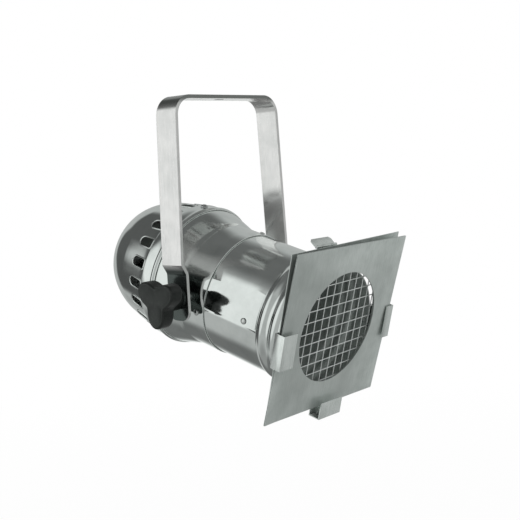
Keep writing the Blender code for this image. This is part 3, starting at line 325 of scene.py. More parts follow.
# Masks for the painted reflection: the pads' broad faces low on the legs, then the crown and every face that
# looks up.
pads = both_of(tree, spread(tree, height, PAD_SHADE_TOP, PAD_SHADE_TOP - PAD_SHADE_EDGE),
               spread(tree, sideways, 0.4, 0.7))
crown = both_of(tree, spread(tree, height, CROWN_SHADE_LOW, CROWN_SHADE_LOW + CROWN_SHADE_EDGE),
                spread(tree, facing["Z"], -0.6, -0.3))
above = larger_of(tree, crown, spread(tree, facing["Z"], 0.3, 0.65))
colour = tree.nodes["Principled BSDF"].inputs["Base Color"]
crown_reflection_painted = mixed(tree, above, colour.links[0].from_socket, CROWN_PAINTED_REFLECTION)
tree.links.new(mixed(tree, pads, crown_reflection_painted, PAD_PAINTED_REFLECTION), colour)
print("the bar's pads are dark up to", round(1000 * (PAD_SHADE_TOP - PIVOT.z)), "mm above the pivot")

# %% [markdown]
# ## Brass, plastic, ceramic and glass
# These show in small places: brass in the knobs and the lamp's cap, black plastic on the
# knobs and the cord gland, ceramic on the lampholder, and the lamp's own glass, whose front
# is pressed with fine stipples that spread the beam. Clear glass alone would look black
# here, because little light reaches the bowl, so part of its finish scatters light.

# %% Brass and plain solids


def solid(name, light, dark, dullness, scale, depth, metallic=0.0):
    """A cast or moulded material: mottled colour and a fine surface texture."""
    finish, tree, shader = start_finish(name, metallic=metallic)
    place = room_place(tree)
    cloud = noise(tree, place, scale / 12, 4, 0.6)
    grit = noise(tree, place, scale, 2, 0.6)
    wire_looks(tree, shader, mixed(tree, spread(tree, cloud, 0.35, 0.65), dark, light),
               spread(tree, grit, 0.3, 0.7, dullness - 0.07, dullness + 0.07))
    relief(tree, shader, [(grit, depth), (cloud, depth * 1.5)])
    return finish


BRASS = solid("turned_brass", (0.80, 0.62, 0.33), (0.60, 0.44, 0.20), 0.28, 900, 0.005 * MM, 1.0)
BLACK = solid("black_plastic", (0.012, 0.015, 0.013), (0.006, 0.008, 0.007), 0.40, 1600, 0.02 * MM)
CERAMIC = solid("white_ceramic", (0.80, 0.78, 0.72), (0.68, 0.65, 0.58), 0.46, 1100, 0.02 * MM)
print("made brass, plastic and ceramic")

# %% The lamp's glass and mirror


def pressed(name, cell_scale, cell_depth, cloud_scale, dark, light, roughest, **constants):
    """Glass or a mirror that was pressed with a grain of small round cells."""
    finish, tree, shader = start_finish(name, **constants)
    place = can_place(tree)
    cells = tool(tree, "ShaderNodeTexVoronoi", {"Vector": place, "Scale": cell_scale},
                 feature="SMOOTH_F1").outputs["Distance"]
    cloud = noise(tree, place, cloud_scale, 3)
    wire_looks(tree, shader, mixed(tree, cloud, dark, light),
               spread(tree, cloud, 0.3, 0.7, 0.10, roughest))
    relief(tree, shader, [(cells, cell_depth)])
    return finish


LENS_GLASS = pressed("lamp_glass", 420, 0.25 * MM, 60, (0.40, 0.46, 0.44), (0.50, 0.56, 0.54), 0.22,
                     ior=1.5, transmission_weight=0.7)
# The bowl's silver is darker than clean silver: painted shade for the dim inside of the lamp.
LAMP_MIRROR_WITH_PAINTED_SHADE = pressed("lamp_mirror", 260, 0.12 * MM, 40, (0.50, 0.54, 0.525), (0.64, 0.68, 0.66), 0.2,
                      metallic=1.0)
print("made", LENS_GLASS.name, "and", LAMP_MIRROR_WITH_PAINTED_SHADE.name)

# %% Which finish each kind of solid gets
FINISHES = {"polished_aluminium": POLISHED, "satin_aluminium": ALUMINIUM, "satin_steel": PLATE,
            "galvanised_wire": WIRE, "zinc_plated_steel": ZINC, "black_plastic": BLACK,
            "brass": BRASS, "lamp_glass": LENS_GLASS, "lamp_mirror": LAMP_MIRROR_WITH_PAINTED_SHADE,
            "white_ceramic": CERAMIC}
print("finishes:", sorted(FINISHES))

# %% [markdown]
# ## A small kit for shapes
# Nearly everything here is either turned about an axis or cut from sheet. So there are
# three makers: one turns a profile, one draws an outline out, and one drills. They share
# one helper that spans faces between loops of corners. Each piece then rides on its body,
# and hides the plain solids that it stands for.

# %% From forms to pieces


def put(name, data):
    """A new object in the scene."""
    item = bpy.data.objects.new(name, data)
    bpy.context.scene.collection.objects.link(item)
    return item


def plain_mesh(name, form):
    """A mesh made from a bmesh, which is done with then."""
    mesh = bpy.data.meshes.new(name)
    form.to_mesh(mesh)
    form.free()
    return mesh


def mesh_from(name, form, sharp=34.0):
    """Turn a bmesh into a mesh with smooth faces and crisp corners."""
    bmesh.ops.recalc_face_normals(form, faces=form.faces)
    mesh = plain_mesh(name, form)
    mesh.shade_smooth()
    mesh.set_sharp_from_angle(angle=math.radians(sharp))
    return mesh


def add_piece(name, mesh, finish, body, *stands_for):
    """Put a mesh in the scene, on its body, in place of the nodes that it stands for."""
    item = put(name, mesh)
    if not mesh.materials:
        mesh.materials.append(finish)
    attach(item, body)
    if stands_for:
        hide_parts(*stands_for)
    return item


print("ways to add pieces ready")

# %% Turning and extruding


def bridge(form, loops, closed=False):
    """Faces between loops that follow each other. A loop may also be a single point."""
    pairs = list(zip(loops, loops[1:])) + ([(loops[-1], loops[0])] if closed else [])
    for first, second in pairs:
        count = max(len(first), len(second))
        for index in range(count):
            after = (index + 1) % count
            corners = [first[index % len(first)], first[after % len(first)],
                       second[after % len(second)], second[index % len(second)]]
            form.faces.new(list(dict.fromkeys(corners)))


def around(steps):
    """Even angles, once round a circle."""
    return [2 * math.pi * index / steps for index in range(steps)]


def turned(name, profile, place, steps=160, closed=False, radius_at=None, angles=None, sharp=34.0):
    """Turn (radius, station) points about the place's X, from the near side upwards."""
    form = bmesh.new()
    turns = angles or around(steps)
    loops = []
    for number, (radius, station) in enumerate(profile):
        if radius == 0:
            loops.append([form.verts.new(place @ Vector((station, 0, 0)))])
            continue
        loop = []
        for angle in turns:
            reach = radius_at(number, radius, station, angle) if radius_at else radius
            spot = Vector((station, -reach * math.cos(angle), reach * math.sin(angle)))
            loop.append(form.verts.new(place @ spot))
        loops.append(loop)
    bridge(form, loops, closed)
    return mesh_from(name, form, sharp)


def extruded(outline, place, low, high):
    """A closed outline, extruded between two heights along the place's Z."""
    form = bmesh.new()
    floor = [form.verts.new(place @ Vector((x, y, low))) for x, y in outline]
    roof = [form.verts.new(place @ Vector((x, y, high))) for x, y in outline]
    form.faces.new(floor)
    form.faces.new(roof)
    bridge(form, [floor, roof])
    return form


print("turning and extruding ready")

# %% Lines and outlines


def rod(radius, low, high):
    """A plain rod's profile, for drilling round holes."""
    return [(0, low), (radius, low), (radius, high), (0, high)]


def rectangle(half_x, half_y):
    """A rectangle's corners about its middle."""
    return [(-half_x, -half_y), (half_x, -half_y), (half_x, half_y), (-half_x, half_y)]


def part_way(first, second, share):
    """The point some share of the way from one point to another."""
    return tuple(start + (end - start) * share for start, end in zip(first, second))


def shift_line(points, distance):
    """An open line moved to its left by a distance, with mitred corners."""
    spots = [Vector(point) for point in points]
    runs = [(after - before).normalized() for before, after in zip(spots, spots[1:])]
    moved = []
    for spot, back, ahead in zip(spots, runs[:1] + runs, runs + runs[-1:]):
        side = Vector((-back.y, back.x))
        middle = (side + Vector((-ahead.y, ahead.x))).normalized()
        moved.append(tuple(spot + middle * distance / middle.dot(side)))
    return moved


def sheet_profile(line, thickness):
    """A sheet's closed profile, with its outer face on the line."""
    return list(line) + shift_line(line, -thickness)[::-1]


def arc(centre, radius, start, end, steps):
    """Points along an arc."""
    spots = []
    for index in range(steps + 1):
        angle = start + (end - start) * index / steps
        spots.append((centre[0] + radius * math.cos(angle), centre[1] + radius * math.sin(angle)))
    return spots


print("lines and outlines ready")

# %% Drilling and softening


def finished(item):
    """Apply a piece's modifiers, so that what rides on its body is the final mesh."""
    graph = bpy.context.evaluated_depsgraph_get()
    mesh = bpy.data.meshes.new_from_object(item.evaluated_get(graph))
    item.modifiers.clear()
    item.data = mesh
    return item


def drilled(item, *cutters):
    """Cut meshes out of a piece with exact Booleans."""
    for mesh in cutters:
        drill = put("drill", mesh)
        drill.hide_render = True
        cut = item.modifiers.new("drill", "BOOLEAN")
        cut.object = drill
        cut.solver = "EXACT"
        finished(item)
        bpy.data.objects.remove(drill)
    return item


def softened(item, width, segments=2, angle=40):
    """Round a piece's corners a little, so that they catch the light."""
    bevel = item.modifiers.new("soft_corners", "BEVEL")
    bevel.width = width
    bevel.segments = segments
    bevel.limit_method = "ANGLE"
    bevel.angle_limit = math.radians(angle)
    bevel.harden_normals = True
    return item


print("drilling and softening ready")

# %% [markdown]
# ## The shells' sizes and their insides
# Tube, housing and cap slide over each other, so each radius follows from the one inside
# it, from the sheet and from a little play. All three are polished on the outside alone. A
# second object could line each one, but the faces' own directions tell the inside from the
# outside: those that look at the can's axis are dull and painted darker with shade, and cut
# edges in front are pale.

# %% Sizes of the shells
SHEET = 1.0 * MM
TUBE_R = 64.0 * MM
TUBE_FRONT, TUBE_REAR, TUBE_EDGE = 136.5 * MM, 9.0 * MM, 0.3 * MM
BEAD_START, BEAD_PITCH, BEAD_HEIGHT, BEADS, BEAD_STEPS = 95.7 * MM, 14.6 * MM, 2.1 * MM, 2, 20
SEAM_ANGLE, SEAM_STEP, SEAM_FADE = math.radians(-2.2), 0.8 * MM, math.radians(42)
SEAM_START = 26.9 * MM
SEAM_FLARE, SEAM_FLARE_TURN = 0.36 * MM, math.radians(2.0)
SEAM_DIP, SEAM_DIP_TURN = 0.3 * MM, math.radians(4.0)
PLAY = 0.3 * MM
NECK_R, NECK_EDGE = TUBE_R + SHEET + PLAY, 0.2 * MM
NECK_FRONT, NECK_REAR, CREASE, BAND_REAR, SKIRT_REAR = (x * MM for x in (25.7, -8, -12, -35.5, -55))
CREASE_R, SKIRT_R = NECK_R + 1.9 * MM, NECK_R + 8.9 * MM
CAP_R = SKIRT_R + SHEET + PLAY
CAP_FRONT, CAP_STEP, CAP_CREASE, SHOULDER, CAP_BACK = (x * MM for x in (-38, -57, -59, -96, -139))
CAP_CREASE_R, SHOULDER_R, CAP_FLAT_R = CAP_R - 1.3 * MM, 68.0 * MM, 38.0 * MM
LIP_WIDTH, LIP_HEIGHT = 6.5 * MM, 1.4 * MM
print("tube, neck, skirt and cap radii in mm:",
      [round(1000 * radius, 1) for radius in (TUBE_R, NECK_R, SKIRT_R, CAP_R)])

# %% Leave the inside dull, with painted shade
BACK_START = -60 * MM


def unpolished_with_painted_shade(item):
    """Leave the inside of a shell dull and painted darker with shade, and its cut front edge as the shears
    left it.
    """
    item.data.materials.append(MILL_WITH_PAINTED_SHADE)
    item.data.materials.append(CUT)
    for face in item.data.polygons:
        spot = TO_CAN @ face.center
        look = TO_CAN.to_3x3() @ face.normal
        away = Vector((0, spot.y, spot.z)).normalized()
        behind = spot.x < BACK_START
        if look.x > 0.6 and not behind:
            face.material_index = 2
        elif look.dot(away) < -0.2 or (look.x > 0.5 and behind):
            face.material_index = 1


print("shells are dull inside, and pale at edges that face forward")

# %% [markdown]
# ## The front tube
# The tube is rolled from one sheet. Its edges overlap in a lap along the near side, where
# a rivet holds them, so the outer edge stands one sheet proud and the rest of the turn
# spirals gently back to round. The edge flares out by a hair and the sheet under it dips
# in, which draws the seam as a bright line over a dark one. Two beads are rolled near the
# mouth to stiffen it. A mirror shows the bead's whole curve, so each has many more steps
# here than in the solid. The turn's steps crowd together at the seam for the same reason.

# %% The front tube


def bead(station, centre, width, height):
    """How far a rolled bead stands up at a station."""
    phase = (station - centre) / width
    return 0.0 if abs(phase) >= 0.5 else height * math.cos(math.pi * phase) ** 2


line = [(TUBE_R - TUBE_EDGE, TUBE_FRONT), (TUBE_R, TUBE_FRONT - TUBE_EDGE)]
for index in reversed(range(BEADS * BEAD_STEPS + 1)):
    station = BEAD_START + BEAD_PITCH * index / BEAD_STEPS
    centre = BEAD_START + BEAD_PITCH * (min(index // BEAD_STEPS, BEADS - 1) + 0.5)
    line.append((TUBE_R + bead(station, centre, BEAD_PITCH, BEAD_HEIGHT), station))
plain_part = (BEAD_START - 0.05 * MM, 80 * MM, 60 * MM, 43 * MM, SEAM_START, SEAM_START - 0.1 * MM, TUBE_REAR)
line += [(TUBE_R, station) for station in plain_part]
OUTER_POINTS = len(line)
LAP_START, LAP_END = SEAM_START - 0.05 * MM, BEAD_START - 0.02 * MM


def lap(number, radius, station, angle):
    """The lapped edge stands proud, and the turn spirals back to round above it."""
    if number >= OUTER_POINTS or not LAP_START < station < LAP_END:
        return radius
    past = (angle - SEAM_ANGLE + math.pi) % (2 * math.pi) - math.pi
    if past < 0:
        return radius - SEAM_DIP * max(1 + past / SEAM_DIP_TURN, 0.0) ** 2
    share = min(past / SEAM_FADE, 1.0)
    flare = max(1 - past / SEAM_FLARE_TURN, 0.0)
    return radius + SEAM_STEP * (1 - share) ** 2 + SEAM_FLARE * flare ** 2


TURN_STEPS, SEAM_DEGREES = 190, (-4, -3.1, -2.3, -1.6, -0.9, -0.12, 0, 0.3, 0.7, 1.2)
turns = [SEAM_ANGLE + math.radians(degrees) for degrees in SEAM_DEGREES]
turns += [SEAM_ANGLE + turn for turn in around(TURN_STEPS)[1:-2]]
mesh = turned("front_tube_skin", sheet_profile(line, SHEET), CAN, closed=True, radius_at=lap,
              angles=turns, sharp=40)
tube = add_piece("front_tube_skin", mesh, POLISHED, "can", "front_tube")
unpolished_with_painted_shade(tube)
print("front tube:", len(tube.data.polygons), "faces")

# %% [markdown]
# ## The rear housing
# The housing is spun: a neck that grips the tube, a sharp crease, a flared band and a skirt
# that hides inside the cap. Spun sheet has no sharp corners, so each corner of its profile
# is two points a little apart. Its front edge is cut square, which shows as a thin line.

# %% The rear housing
line = [(NECK_R - NECK_EDGE, NECK_FRONT), (NECK_R, NECK_FRONT - NECK_EDGE), (NECK_R, 12 * MM),
        (NECK_R, NECK_REAR + 0.4 * MM), (NECK_R + 0.15 * MM, NECK_REAR - 0.3 * MM),
        (CREASE_R - 0.15 * MM, CREASE + 0.3 * MM), (CREASE_R + 0.1 * MM, CREASE - 0.35 * MM)]
line += [part_way((CREASE_R, CREASE), (SKIRT_R, BAND_REAR), share) for share in (0.25, 0.5, 0.75)]
line += [(SKIRT_R - 0.2 * MM, BAND_REAR + 0.7 * MM), (SKIRT_R, BAND_REAR - 0.4 * MM),
         (SKIRT_R, SKIRT_REAR)]
profile = sheet_profile(line, SHEET)
profile[-1] = (NECK_R - SHEET, NECK_FRONT)  # the square cut in front
mesh = turned("rear_housing_skin", profile, CAN, 192, closed=True, sharp=40)
housing = add_piece("rear_housing_skin", mesh, POLISHED, "can", "rear_housing")
unpolished_with_painted_shade(housing)
print("rear housing:", len(housing.data.polygons), "faces")

# %% [markdown]
# ## The rear cap
# The cap is spun too, with a rolled lip in front, a small step, a ring of twenty cooling
# slots and a domed back. The slots are punched through it. A Boolean cut leaves odd shading
# on a mirror, so each new corner takes its direction from the uncut skin: the nearest
# vertex before cutting says which way the metal faces there.

# %% Cap profile


def curve(p0, p1, p2, p3, steps):
    """Points along a cubic curve."""
    spots = []
    for index in range(steps + 1):
        t = index / steps
        weights = ((1 - t) ** 3, 3 * t * (1 - t) ** 2, 3 * t * t * (1 - t), t ** 3)
        spots.append(tuple(sum(w * p[axis] for w, p in zip(weights, (p0, p1, p2, p3)))
                           for axis in (0, 1)))
    return spots


LIP_STEPS, SHOULDER_PULL, BACK_PULL = 12, 16.3 * MM, 14 * MM
line = []
for index in range(LIP_STEPS + 1):
    station = CAP_FRONT - LIP_WIDTH * index / LIP_STEPS
    line.append((CAP_R + bead(station, CAP_FRONT - LIP_WIDTH / 2, LIP_WIDTH, LIP_HEIGHT), station))
line += [(CAP_R, CAP_FRONT - 10 * MM), (CAP_R, CAP_STEP + 0.4 * MM), (CAP_R - 0.2 * MM, CAP_STEP - 0.2 * MM),
         (CAP_CREASE_R + 0.15 * MM, CAP_CREASE + 0.4 * MM), (CAP_CREASE_R, CAP_CREASE - 0.2 * MM)]
slope = (CAP_CREASE_R - SHOULDER_R) / (CAP_CREASE - SHOULDER)
line += [part_way((CAP_CREASE_R, CAP_CREASE), (SHOULDER_R, SHOULDER), share)
         for share in (0.15, 0.35, 0.6, 0.8)]
line += curve((SHOULDER_R, SHOULDER), (SHOULDER_R - SHOULDER_PULL * slope, SHOULDER - SHOULDER_PULL),
              (CAP_FLAT_R + BACK_PULL, CAP_BACK), (CAP_FLAT_R, CAP_BACK), 28)
cap_line = list(line)
profile = [(0, CAP_BACK + SHEET)] + shift_line(line, -SHEET)[::-1] + line + [(0, CAP_BACK)]
uncut = turned("rear_cap_skin", profile, CAN, 192, sharp=40)
print("cap profile:", len(profile), "points")

# %% Punch the slots
SLOTS, SLOT_WIDTH, SLOT_LENGTH = 20, 9.8 * MM, 20.6 * MM
SLOT_PHASE, SLOT_FRONT, SLOT_CORNER = math.radians(12.9), CAP_CREASE - 0.3 * MM, 1.6 * MM
SLOT_ANGLES = [SLOT_PHASE + turn for turn in around(SLOTS)]


def slot_outline(grow, steps):
    """A slot seen from above: round at the rear, square with small corners at the front."""
    half = SLOT_WIDTH / 2
    round_end = SLOT_FRONT - SLOT_LENGTH + half
    spots = arc((round_end, 0), half + grow, math.pi / 2, 1.5 * math.pi, steps)
    for side, start in ((-1, -math.pi / 2), (1, 0)):
        centre = (SLOT_FRONT - SLOT_CORNER, side * (half - SLOT_CORNER))
        spots += arc(centre, SLOT_CORNER + grow, start, start + math.pi / 2, 4)
    return spots


def on_cap(station, across, angle, lift=0.0):
    """The place on the cap's outside, a distance across from a slot's middle line."""
    for (r1, x1), (r2, x2) in zip(cap_line, cap_line[1:]):
        if x2 <= station <= x1:
            radius = r1 + (r2 - r1) * (station - x1) / (x2 - x1) + lift
            turn = angle + math.asin(across / radius)
            return CAN @ Vector((station, -radius * math.cos(turn), radius * math.sin(turn)))
    raise ValueError("off the cap")


form = bmesh.new()
for angle in SLOT_ANGLES:
    stand = CAN @ Matrix.Rotation(math.pi / 2 - angle, 4, "X")
    block = extruded(slot_outline(0, 12), stand, CAP_R - 16 * MM, CAP_R + 6 * MM)
    bmesh.ops.recalc_face_normals(block, faces=block.faces)
    part = plain_mesh("slot", block)
    form.from_mesh(part)
    bpy.data.meshes.remove(part)
punch = plain_mesh("punch", form)
cap = drilled(add_piece("rear_cap_skin", uncut.copy(), POLISHED, "can", "rear_cap"), punch)
print("cap after punching:", len(cap.data.polygons), "faces")

# %% Let the cut cap keep the smooth skin's directions


def keep_directions(item, smooth_mesh, limit):
    """Give a cut mesh the directions of the mesh before cutting, except on the cut's walls."""
    tree = KDTree(len(smooth_mesh.polygons))
    for face in smooth_mesh.polygons:
        tree.insert(face.center, face.index)
    tree.balance()
    corners = [normal.vector.copy() for normal in smooth_mesh.corner_normals]
    mesh = item.data
    chosen = [normal.vector.copy() for normal in mesh.corner_normals]
    for face in mesh.polygons:
        for loop in face.loop_indices:
            spot = mesh.vertices[mesh.loops[loop].vertex_index].co
            best = None
            for centre, index, distance in tree.find_n(spot.lerp(face.center, 0.02), 6):
                old = smooth_mesh.polygons[index]
                if old.normal.dot(face.normal) < limit:
                    continue
                for corner in old.loop_indices:
                    other = smooth_mesh.vertices[smooth_mesh.loops[corner].vertex_index].co
                    near = (other - spot).length
                    if best is None or near < best[0]:
                        best = (near, corners[corner])
            if best is not None:
                chosen[loop] = best[1]
    mesh.normals_split_custom_set(chosen)


keep_directions(cap, uncut, math.cos(math.radians(25)))
unpolished_with_painted_shade(cap)
print("cap's directions kept")

# %% [markdown]
# ## Pressed rims round the slots
# The punch leaves each slot with a small rounded rim, which catches the light as a bright
# crescent. It could be beveled from the cut edge, but a bevel on a Boolean cut breaks at
# its odd corners. A thin bead that follows the slot's outline on the cap shows it well.

# %% Slot rims


def bead_along(form, spots, radius, sides=8, closed=True):
    """A thin round bead along a line of points."""
    loops = []
    count = len(spots)
    for index, spot in enumerate(spots):
        back = spots[index - 1] if closed or index else spot
        ahead = spots[(index + 1) % count] if closed or index < count - 1 else spot
        run = (ahead - back).normalized()
        side = run.cross(Vector((0.31, 0.17, 0.93))).normalized()
        lift = run.cross(side)
        loops.append([form.verts.new(spot + side * radius * math.cos(turn)
                                     + lift * radius * math.sin(turn)) for turn in around(sides)])
    bridge(form, loops, closed)
    if not closed:
        form.faces.new(loops[0])
        form.faces.new(loops[-1])


RIM_R, RIM_OUT, RIM_SINK = 0.95 * MM, 0.6 * MM, 0.15 * MM
form = bmesh.new()
for angle in SLOT_ANGLES:
    spots = [on_cap(min(station, CAP_CREASE - 0.05 * MM), across, angle, -RIM_SINK)
             for station, across in slot_outline(RIM_OUT, 14)]
    bead_along(form, spots, RIM_R)
rims = add_piece("slot_rims", mesh_from("slot_rims", form, 60), POLISHED, "can")
print("slot rims:", len(rims.data.polygons), "faces")

# %% [markdown]
# ## The yoke
# The yoke is one flat bar, bent twice, joggled inwards near its ends so that its pads meet
# the spacers. It could be a long box with a bend modifier, but the joggle and the splay of
# its legs would then be hard to place. It is swept as a rounded rectangle along its own
# line, which keeps the soft edges continuous round the bends. The pads' corners are
# rounded off.

# %% The bar's line
BAR_WIDTH, BAR_THICK, BAR_EDGE, BEND_R = 28.2 * MM, 3.8 * MM, 0.5 * MM, 21.0 * MM
PAD_Y, LEG_Y = 76.2 * MM, 83.1 * MM
PAD_END, PAD_CORNER, CORNER_STEPS = PIVOT.z - 23.5 * MM, 10 * MM, 8
SPLAY = math.tan(math.radians(2.02))


def on_leg(rise):
    """The outer face of the splayed leg, some way above the pivot."""
    return (LEG_Y - rise * SPLAY, PIVOT.z + rise)


top_half = LEG_Y - PIVOT_DROP * SPLAY
turn = math.pi / 2 - math.atan(SPLAY)
bend = (top_half - BEND_R * math.tan(turn / 2), -BEND_R)
side = [(PAD_Y, PAD_END + PAD_CORNER * (1 - math.cos(math.pi / 2 * index / CORNER_STEPS)))
        for index in range(CORNER_STEPS + 1)]
side += [(PAD_Y, PIVOT.z + 22.6 * MM), (PAD_Y + 0.3 * MM, PIVOT.z + 24.4 * MM),
         (on_leg(33 * MM)[0] - 0.3 * MM, PIVOT.z + 32.3 * MM)]
side += [on_leg(rise * MM) for rise in (33.9, 90, 140)]
side += arc(bend, BEND_R, math.pi / 2 - turn, math.pi / 2, 24)
bar_line = side + [(6 * MM, 0.0), (-6 * MM, 0.0)] + [(-y, z) for y, z in side[::-1]]
print("the bar's line has", len(bar_line), "points; its top is", round(2000 * top_half), "mm wide")

# %% Sweep the bar
form = bmesh.new()
loops = []
inner = shift_line(bar_line, BAR_THICK)
for (y, z), (inner_y, inner_z) in zip(bar_line, inner):
    lift = z - PAD_END
    half = BAR_WIDTH / 2
    if lift < PAD_CORNER:
        half -= PAD_CORNER - math.sqrt(max(PAD_CORNER ** 2 - (PAD_CORNER - lift) ** 2, 0))
    out = Vector((0, y - inner_y, z - inner_z)).normalized()
    middle = Vector((0, (y + inner_y) / 2, (z + inner_z) / 2))
    deep = (Vector((0, y, z)) - middle).length
    loop = []
    for x_side, out_side in ((1, 1), (-1, 1), (-1, -1), (1, -1)):
        for bit in range(3):
            swing = math.pi / 4 * bit
            across, outwards = math.cos(swing), math.sin(swing)
            if x_side != out_side:
                across, outwards = outwards, across
            sideways = Vector((x_side * (half - BAR_EDGE + BAR_EDGE * across), 0, 0))
            reach = deep - BAR_EDGE + BAR_EDGE * outwards
            loop.append(form.verts.new(middle + sideways + out * out_side * reach))
    loops.append(loop)
bridge(form, loops)
form.faces.new(loops[0])
form.faces.new(loops[-1])
bar = add_piece("yoke_bar", mesh_from("yoke_bar", form, 30), BAR, "yoke", "yoke")
print("yoke swept:", len(bar.data.polygons), "faces")

# %% Drill the bar
HANG_HOLE_R, BOLT_HOLE_R = 5.3 * MM, 4.4 * MM
drills = [turned("drill", rod(HANG_HOLE_R, -8 * MM, 4 * MM), Matrix.Rotation(-math.pi / 2, 4, "Y"), 48)]
for sign in (-1, 1):
    stand = Matrix.Translation(PIVOT) @ Matrix.Rotation(sign * math.pi / 2, 4, "Z")
    drills.append(turned("drill", rod(BOLT_HOLE_R, 60 * MM, 90 * MM), stand, 32))
drilled(bar, *drills)
weigh = bar.modifiers.new("flat_faces_stay_flat", "WEIGHTED_NORMAL")
weigh.keep_sharp = True
finished(bar)
print("yoke drilled:", len(bar.data.polygons), "faces")

# %% [markdown]
# ## The two square sheets and the wire guard
# Two loose sheets stand in the clips. The front one holds a colour filter: it is folded
# double along its bottom edge, so two leaves show at its sides. Its section is drawn as a
# bent line of even thickness and drawn out sideways, so the fold is round. The rear one
# leans a little differently and carries a wire guard over its round window, which is as
# wide as the tube's bore. The wires are welded where they cross, so all lie in one layer.

# %% The colour frame
FRAME_HALF, WINDOW_R = 85.0 * MM, 56.75 * MM
FRAME_X, FRAME_BOTTOM, LEAF, GAP = 140.9 * MM, -79.1 * MM, 0.5 * MM, 0.4 * MM
FRAME_LEAN, DRILL_REACH, PLATE_EDGE = math.radians(2.8), 6 * MM, 0.12 * MM
FRAME_PLACE = CAN @ Matrix.Translation((FRAME_X, 0, FRAME_BOTTOM)) @ Matrix.Rotation(FRAME_LEAN, 4, "Y")
fold = LEAF + GAP / 2
line = [(-2 * fold, 2 * FRAME_HALF)] + arc((-fold, fold), fold, -math.pi, 0, 16) + [(0, 2 * FRAME_HALF)]
outline = line + shift_line(line, LEAF)[::-1]
stand = FRAME_PLACE @ Matrix.Rotation(math.pi / 2, 4, "X")
mesh = mesh_from("colour_frame_sheet", extruded(outline, stand, -FRAME_HALF, FRAME_HALF), 30)
colour_frame = add_piece("colour_frame_sheet", mesh, PLATE, "colour_frame", "colour_frame")
window = FRAME_PLACE @ Matrix.Translation((0, 0, FRAME_HALF))
drilled(colour_frame, turned("window", rod(WINDOW_R, -DRILL_REACH, DRILL_REACH), window, 180))
softened(colour_frame, PLATE_EDGE)
finished(colour_frame)
print("colour frame:", len(colour_frame.data.polygons), "faces")

# %% The guard's place and sheet
GUARD_SHEET, GUARD_OFFSET, BEHIND_FRAME = 0.8 * MM, 1.2 * MM, 0.6 * MM
LEAN, YAW, ROLL = (math.radians(degrees) for degrees in (1.23, 0.79, 1.2))
spin = Matrix.Rotation(YAW, 4, "Z") @ Matrix.Rotation(LEAN, 4, "Y") @ Matrix.Rotation(ROLL, 4, "X")
out = spin.to_3x3() @ Vector((1, 0, 0))
corner = Vector((FRAME_X - 2 * fold - BEHIND_FRAME, -FRAME_HALF, FRAME_BOTTOM))
centre = Vector((0, GUARD_OFFSET, FRAME_BOTTOM + FRAME_HALF))
centre.x = out.dot(corner - centre) / out.x
GUARD_PLACE = CAN @ Matrix.Translation(centre) @ spin
stand = GUARD_PLACE @ Matrix.Rotation(math.pi / 2, 4, "Y")
form = extruded(rectangle(FRAME_HALF, FRAME_HALF), stand, -GUARD_SHEET, 0)
guard = add_piece("guard_sheet", mesh_from("guard_sheet", form, 30), PLATE, "guard", "guard_frame")
BORE_R = TUBE_R - SHEET
drilled(guard, turned("window", rod(BORE_R, -DRILL_REACH, DRILL_REACH), GUARD_PLACE, 180))
softened(guard, PLATE_EDGE)
finished(guard)
print("guard sheet:", len(guard.data.polygons), "faces")

# %% The wires
WIRE_R, MESH_PITCH, MESH_R, MESH_REACH = 0.5 * MM, 11.3 * MM, BORE_R + 3.5 * MM, 5
WIRE_STEPS, RING_STEPS, SWAY = 24, 120, 0.25
WIRE_HEIGHT, SEEN_R = PLAY + WIRE_R, WIRE_R * 0.98
random.seed(7)
form = bmesh.new()
for number in range(-MESH_REACH, MESH_REACH + 1):
    reach = math.sqrt(MESH_R ** 2 - (number * MESH_PITCH) ** 2)
    for upright in (False, True):
        sway = random.uniform(-SWAY, SWAY) * MM
        spots = []
        for index in range(WIRE_STEPS + 1):
            run = -reach + 2 * reach * index / WIRE_STEPS
            across = number * MESH_PITCH + sway * math.sin(math.pi * index / WIRE_STEPS)
            y, z = (across, run) if upright else (run, across)
            spots.append(GUARD_PLACE @ Vector((WIRE_HEIGHT, y, z)))
        bead_along(form, spots, SEEN_R, 8, closed=False)
reach = MESH_R - WIRE_R
ring = [GUARD_PLACE @ Vector((WIRE_HEIGHT, reach * math.cos(turn), reach * math.sin(turn)))
        for turn in around(RING_STEPS)]
bead_along(form, ring, SEEN_R, 8)
wires = add_piece("guard_wires", mesh_from("guard_wires", form, 60), WIRE, "guard", "guard_mesh")
print("guard:", 4 * MESH_REACH + 2, "wires in a ring,", len(wires.data.polygons), "faces")

# %% [markdown]
# ## Hand knobs
# Each clamp has a moulded knob with three lobes, big enough to do up with a gloved hand.
# It is built as a stack of closed outlines: the lobed shape is pulled in a little at each
# step of the rounded edge, and the hub is turned below it. The front face is slightly
# dished, as moulded parts are where they shrink.

# %% The knob's levels
HUB_Y, HEAD_Y, KNOB_THICK, HUB_R = 78.4 * MM, 92.2 * MM, 16.0 * MM, 12.0 * MM
LOBE_R, WAIST_R, KNOB_EDGE, EDGE_STEPS, KNOB_STEPS = 27.5 * MM, 14.5 * MM, 2.6 * MM, 6, 144
KNOB_TOP, DISH, INSERT_R, INSERT_END = HEAD_Y + KNOB_THICK, 0.9 * MM, 6.5 * MM, 97.2 * MM
HUB_LEVELS = [(HUB_Y, HUB_R - 0.6 * MM), (HUB_Y + 0.6 * MM, HUB_R), (HEAD_Y - 1 * MM, HUB_R),
              (HEAD_Y - 0.25 * MM, HUB_R + 0.25 * MM), (HEAD_Y, HUB_R + 1 * MM)]
HEAD_LEVELS = arc((HEAD_Y + KNOB_EDGE, KNOB_EDGE), KNOB_EDGE, math.pi, 1.5 * math.pi, EDGE_STEPS)
HEAD_LEVELS += arc((KNOB_TOP - KNOB_EDGE, KNOB_EDGE), KNOB_EDGE, -math.pi / 2, 0, EDGE_STEPS)
